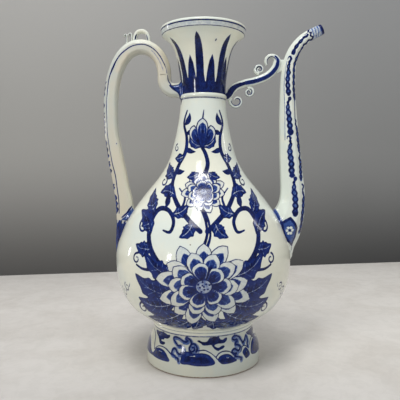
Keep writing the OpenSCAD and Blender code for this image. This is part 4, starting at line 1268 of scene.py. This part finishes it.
# the tip: a dark wavy edge, a greyish band and a dark rim
across, up = brush.place.T
edge = np.abs(up + 0.8 * np.sin(across * 1.3) - plan["tipEdge"]) - 1.1
brush.spread(brush.where, np.minimum(edge, plan["tipRim"] - up))
brush.spread(brush.where & (up > plan["tipBand"]), wash=0.27 + 0.12 * np.sin(up * 2.3 + across * 0.5))
brush.finish()
print("spout painted")

# The handle: a line along its edge, short strokes on its outer side, a beige strip, and a blue leaf at its foot
handlePaint = {
    "outer": (0.4, 0.5), "inner": (0.72, 0.7),
    "lines": [
        ([(1, 2.9), (6.3, 2.3), (11.9, 1.3), (17.5, 1), (24.5, 0.8), (30.8, 0.9), (37.8, 0.7), (44.1, 0.3),
          (51.1, 0.3), (56.7, 0.5), (63, 1.4), (70, 1.9), (76.3, 2.2), (82.6, 2.8), (88.9, 3.1), (98.7, 2.7)],
         [0.6, 0.8, 1, 1.1, 1, 1.1, 1, 1.1, 1.2, 1.2, 1.3, 1.6, 2.2, 1.8, 1.5, 1.3], 0),
        ([(4, -0.6), (12, -1.6), (20, -1.8), (28, -1.5)], 0.9, 0.3),
        ([(98.7, 2.7), (115, 2.9), (135, 3.2), (156.8, 3.6)], [1.2, 0.9, 0.9, 1], 0),
        ([(156.8, 3.6), (171.5, 3.2), (178.5, 2.9), (186.9, 2.9), (198.8, 3.5), (210.1, 4.4), (220.6, 4.9)],
         [1, 1.1, 1.2, 1.2, 1.3, 1.4, 1.4], 0)],
    "strokes": [(91, 103), (111, 115), (120.5, 124.5), (126.5, 132), (134, 139), (146, 162), (168, 171), (175, 178),
                (191, 194), (201, 220)],
    "joint": [(214.5, -8.2), (217, -6), (220.6, -3.2), (224.8, 1.9)], "speck": (151.2, -4.6),
    "tints": [([(58, -3), (66, -3.4), (77, -3)], 5, 0.9),
              ([(92, -1), (130, -1.5), (170, -1.6), (205, -1.5)], 4, 0.45)],
    "leafStreaks": [-7.4, -4.4, -1.2, 2.2, 5.4],
    "tongueFront": [(16.8, 2.6), (14, 3.3), (11, 3.7), (8.4, 4.1), (6, 4.9), (3.6, 6.6)],
    "tongueSide": [(13.9, 1.4), (-13.9, 1.4), (-13.9, 4)],
    "tongueBack": [(5.2, -6.5), (6.6, -3.4), (9, -1.6), (12, 0.2), (14.6, 1.7)],
    "tongueLine": [(4, 1), (8, 0.6), (12, 1), (15.5, 1.8)],
    "stubLines": [([(3.5, 30), (4.5, 25), (5, 19.5), (4.2, 16)], [0.7, 1.2, 1.6, 1.4], 0),
                  ([(9.5, 29), (9, 22), (8.4, 17)], [0.6, 1.1, 0.7], 0.5)],
}
plan = handlePaint
brush = PathBrush(handleStrap, "handleStrap", plan["outer"], plan["inner"])
for points, widths, wash in plan["lines"]:
    brush.draw(points, widths, wash)
for k, (low, high) in enumerate(plan["strokes"]):
    count = max(3, int((high - low) / 3) + 1)
    points = [(7.5 + (1.1 if (n + k) % 2 else -0.5), between(low, high, n / (count - 1))) for n in range(count)]
    brush.line(points, [1.4 + 0.5 * (n % 2) for n in range(count)], 5)
    brush.line([(p + 1.4, z + 0.6) for p, z in points], 2.6, 5, wash=0.55)
    brush.line([(p + 4, z + 1) for p, z in points], [1.3 for p in points], 5)
x, z = brush.seen([plan["speck"]])[0]
brush.line([(x, z), (x + 0.4, z + 0.5)], 1.1, 2)
for points, width, strength in plan["tints"]:
    brush.tint(brush.seen(points), width, strength)
joint = brush.seen(plan["joint"])
brush.line(joint, [1.5, 2, 2, 1.3])
brush.line([(p - 1, z + 3) for p, z in joint], 3.4, wash=0.5)
brush.line([(p - 1, z + 5.6) for p, z in joint], 0.9)
brush.finish()
brush = PathBrush(handleLeaf, "handleLeaf", plan["outer"], plan["inner"])
across, up = brush.place.T
streaks = 0.86 + 0.3 * np.sin(across * 2.2 + 0.5 * np.sin(up * 0.4)) * np.clip(1 - up / 34, 0, 1)
ragged = 2.6 + 1.6 * np.sin(across * 1.1) + 0.8 * np.sin(across * 2.7 + 1)
brush.wash = np.clip(streaks, 0.3, 1) * np.clip((up - ragged) / 1.5 + 0.3, 0.12, 1)
for off in plan["leafStreaks"]:
    brush.line([(off, 1), (off * 0.8, 12), (off * 0.45, 24), (off * 0.15, 34)], [1.2, 1.8, 1.3, 0.8])
brush.finish()
brush = PathBrush(handleStub, "handleStub", plan["outer"], plan["inner"])
tongue = brush.seen(plan["tongueFront"]) + plan["tongueSide"] + brush.seen(plan["tongueBack"])
# the tongue's blue wash is paler in streaks across it; the pale streaks are a painted highlight
brush.shape(tongue, 0.72, 1.5, lambda s: np.clip(1.2 - 0.5 * np.abs(np.sin(s @ [0.7, 0.35])), 0, 1), steps=2)
brush.draw(plan["tongueLine"], [1.6, 1.3, 1, 0.6])
for points, widths, wash in plan["stubLines"]:
    brush.line(points, widths, wash=wash)
brush.finish()
print("handle painted")

# The bridge: a blue stripe between pale strips, and thin dark lines on the curls
bridgePaint = {
    "stripe": [(0, 0), (8, 0), (16, 0), (26, 0.4), (36, 0.7), (46, 0.8), (56, 0.9), (64, 0.6), (71, 0.2)],
    "widths": [7, 7, 5.4, 3.6, 3.4, 3.4, 3.5, 3, 1.2],
    "curlLines": {"bridgeHook": (bridgeHook, -1), "bridgeCurlLower": (curlLower, 1),
                  "bridgeCurlUpper": (curlUpper, 1), "loopCurlLarge": (curlLarge, -1),
                  "loopCurlSmall": (curlSmall, -1)},
    "curlWidth": 1.7, "loopWidth": 0.95, "endLine": [(-1.5, 66), (-1.5, 72), (-1.3, 79), (-1.1, 86)],
    "loopStrokes": [([(0.8, 0.1), (1, 0.2), (1.2, 0.3)], [1.4, 1.8, 0.6]),
                    ([(1.2, 0.72), (1, 0.8), (0.8, 0.9)], [0.5, 1.3, 1.1])],
}
plan = bridgePaint
brush = PathBrush(bridgeBar, "bridgeBar")
stripe = brush.seen(plan["stripe"])
brush.line(stripe[:5], [w * 0.9 for w in plan["widths"][:5]])
brush.line(stripe[3:], [w * 1.1 for w in plan["widths"][3:]], wash=1.0)
brush.line(stripe[3:], 1.3)
brush.line(plan["endLine"], [0.6, 1.2, 1.5, 1])
brush.finish()
for name, (piece, inner) in plan["curlLines"].items():
    brush = PathBrush(piece, name)
    long = brush.lengths[-1]
    edge = inner * np.interp(long / 2, brush.lengths, brush.path[:, 2]) * 0.38
    onBridge = name.startswith("bridge")
    width = plan["curlWidth"] if onBridge else plan["loopWidth"]
    brush.line([(edge, long * 0.12), (edge, long * 0.5), (edge, long)], [0.8, width, width * 0.8])
    if onBridge:
        brush.line([(-edge * 1.7, long * 0.25), (-edge * 1.7, long * 0.9)], [0.7, 1.1])
    brush.finish()
brush = PathBrush(handleLoop, "handleLoop")
long = brush.lengths[-1]
for points, widths in plan["loopStrokes"]:
    brush.line([(off, long * share) for off, share in points], widths)
brush.tint(brush.seen([(long * 0.3, 1), (long * 0.7, 1)]), 2, 0.5)
brush.finish()
PathBrush(bridgeWeb, "bridgeWeb").finish()
print("bridge painted")

# Every piece rides on the one body, and the solid it stands for is hidden
for node, piece in {**turnedPieces, **sweptPieces}.items():
    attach(piece, "root")
    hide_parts(node, *(["spout_back"] if node == "spout_front" else []))

# The pale table, the grey wall, the lamps and the camera
stageLook = {
    "table": (0.88, 0.845, 0.79, 1), "vein": (0.80, 0.76, 0.70, 1), "fleck": (0.88, 0.88, 0.87, 1),
    # near is painted shade at the front of the table; left darkens its left side
    "near": (0.70, 0.70, 0.71, 1), "left": (0.89, 0.89, 0.90, 1), "veins": 9.0, "flecks": 70.0,
    "wall": (0.08, 0.078, 0.075, 1), "wallMiddle": (0.335, 0.33, 0.312, 1), "wallTop": (0.395, 0.39, 0.374, 1),
    "wallRight": (0.72, 0.74, 0.77, 1), "wallDistance": 0.446, "wallTurn": 0.173, "wallReach": (-0.8, 3),
    "sheetSize": 3, "world": 0.27, "sky": (0.9, 0.93, 1, 1),
}


def stageSheet(name, corners, material):
    mesh = bpy.data.meshes.new(name)
    mesh.from_pydata(corners, [], [(0, 1, 2, 3)])
    mesh.materials.append(material)
    sheet = bpy.data.objects.new(name, mesh)
    bpy.context.scene.collection.objects.link(sheet)


def tableMaterial():
    material, kit, place = startMaterial("paleTable")
    marble = kit.noise(place, stageLook["veins"], 5.0, 0.6, 1.2)
    colour = kit.mix(kit.step(marble, 0.35, 0.7), stageLook["table"], stageLook["vein"])
    fleck = kit.noise(place, stageLook["flecks"], 6.0, 0.7, 0.6)
    colour = kit.mix(kit.step(fleck, 0.4, 0.64) * 0.5, colour, stageLook["fleck"], "MULTIPLY")
    # painted shade: the table is darker towards the front; it is also a little darker towards the left
    x, y = kit.parts(place)[:2]
    colour = kit.mix(kit.step(y, 0.25, -0.3), colour, stageLook["near"], "MULTIPLY")
    colour = kit.mix(kit.step(x, 0.1, -0.3), colour, stageLook["left"], "MULTIPLY")
    shader = kit.add("ShaderNodeBsdfPrincipled", {"Base Color": colour, "Roughness": 0.5})
    kit.add("ShaderNodeOutputMaterial", {"Surface": shader})
    return material


def wallMaterial():
    material, kit, place = startMaterial("greyWall")
    x, y, height = kit.parts(place)
    # painted shade: the wall is near black at its foot where it meets the table, grey higher up and lighter at the
    # top; it is also darker towards the right
    colour = kit.mix(kit.step(height, -0.03, 0.24), stageLook["wall"], stageLook["wallMiddle"])
    colour = kit.mix(kit.step(height, 0.2, 0.55), colour, stageLook["wallTop"])
    colour = kit.mix(kit.step(x, -0.35, 0.35), colour, stageLook["wallRight"], "MULTIPLY")
    shader = kit.add("ShaderNodeBsdfPrincipled", {"Base Color": colour, "Roughness": 0.9})
    # from behind, the wall isn't there
    clear = kit.add("ShaderNodeBsdfTransparent")
    behind = kit.add("ShaderNodeNewGeometry", {}, "Backfacing")
    shader = kit.add("ShaderNodeMixShader", {0: behind, 1: shader, 2: clear})
    kit.add("ShaderNodeOutputMaterial", {"Surface": shader})
    return material


# The wall stands at a slant and ends on the left where the left pane looks past it
size = stageLook["sheetSize"]
stageSheet("table", [(-size, -size, 0), (size, -size, 0), (size, size, 0), (-size, size, 0)], tableMaterial())
left, right = [(x, stageLook["wallDistance"] + stageLook["wallTurn"] * x) for x in stageLook["wallReach"]]
stageSheet("wall", [(*left, 0), (*right, 0), (*right, size), (*left, size)], wallMaterial())


# Each lamp has its place, its aim, its size, its power and its colour. The large soft lamps don't show in the
# glaze; the small panes are what shines in it.
lamps = {
    "keyLamp": ((-0.9, -1.0, 0.95), (0, 0, 0.16), (0.9, 1.1), 4.7, (1, 0.98, 0.95)),
    "fillLamp": ((1.1, -0.9, 0.7), (0, 0, 0.16), (0.9, 1.1), 3.7, (0.98, 0.99, 1)),
    "topLamp": ((0.05, 0.18, 1.3), (0, 0, 0.1), (1.2, 0.8), 1.9, (1, 1, 1)),
    "backLamp": ((0, 0.38, 1.1), (0, 0, 0.12), (1.4, 0.2), 1.6, (1, 1, 1)),
    "pane1": ((-0.17, -0.42, 1.3), (0, -0.05, 0.165), (0.3, 0.16), 2.9, (1, 1, 1)),
    "pane2": ((0.03, -0.42, 1.3), (0, -0.05, 0.165), (0.4, 0.22), 2.9, (1, 1, 1)),
    "pane3": ((-0.23, -0.72, 1.3), (0, -0.05, 0.165), (0.3, 0.34), 2.9, (1, 1, 1)),
    "leftPane": ((-1.12, 0.36, 0.24), (-0.07, -0.05, 0.116), (0.05, 0.16), 0.7, (1, 1, 1)),
    "rightPane": ((1.12, 0.07, 0.8), (0.05, -0.06, 0.13), (0.07, 0.34), 0.7, (1, 0.97, 0.92)),
    "frontPane": ((-0.68, -0.74, 0.4), (-0.01, -0.025, 0.28), (0.08, 0.14), 1.15, (1, 1, 1)),
}
for name, (place, aim, size, power, colour) in lamps.items():
    light = bpy.data.lights.new(name, "AREA")
    light.shape, light.size, light.size_y = "RECTANGLE", size[0], size[1]
    light.energy, light.color = power, colour
    lamp = bpy.data.objects.new(name, light)
    lamp.location = place
    x, y, z = [b - a for a, b in zip(place, aim)]
    lamp.rotation_euler = (math.atan2(math.hypot(x, y), -z), 0, math.atan2(y, x) - math.pi / 2)
    lamp.visible_glossy = "pane" in name.lower()
    bpy.context.scene.collection.objects.link(lamp)
world = bpy.data.worlds.new("room")
world.use_nodes = True
background = world.node_tree.nodes["Background"].inputs
background["Color"].default_value, background["Strength"].default_value = stageLook["sky"], stageLook["world"]
bpy.context.scene.world = world

cameraLook = {"lens": 44.55, "place": (-0.00323, -0.5, 0.191), "tilt": 86.5}
camera = bpy.data.objects.new("camera", bpy.data.cameras.new("camera"))
camera.data.lens, camera.data.sensor_width, camera.data.sensor_fit = cameraLook["lens"], 36, "HORIZONTAL"
camera.data.clip_start = 0.01
camera.location = cameraLook["place"]
camera.rotation_euler = (math.radians(cameraLook["tilt"]), 0, 0)
bpy.context.scene.collection.objects.link(camera)
bpy.context.scene.camera = camera
bpy.context.scene.view_settings.view_transform = "Standard"
print("stage set")
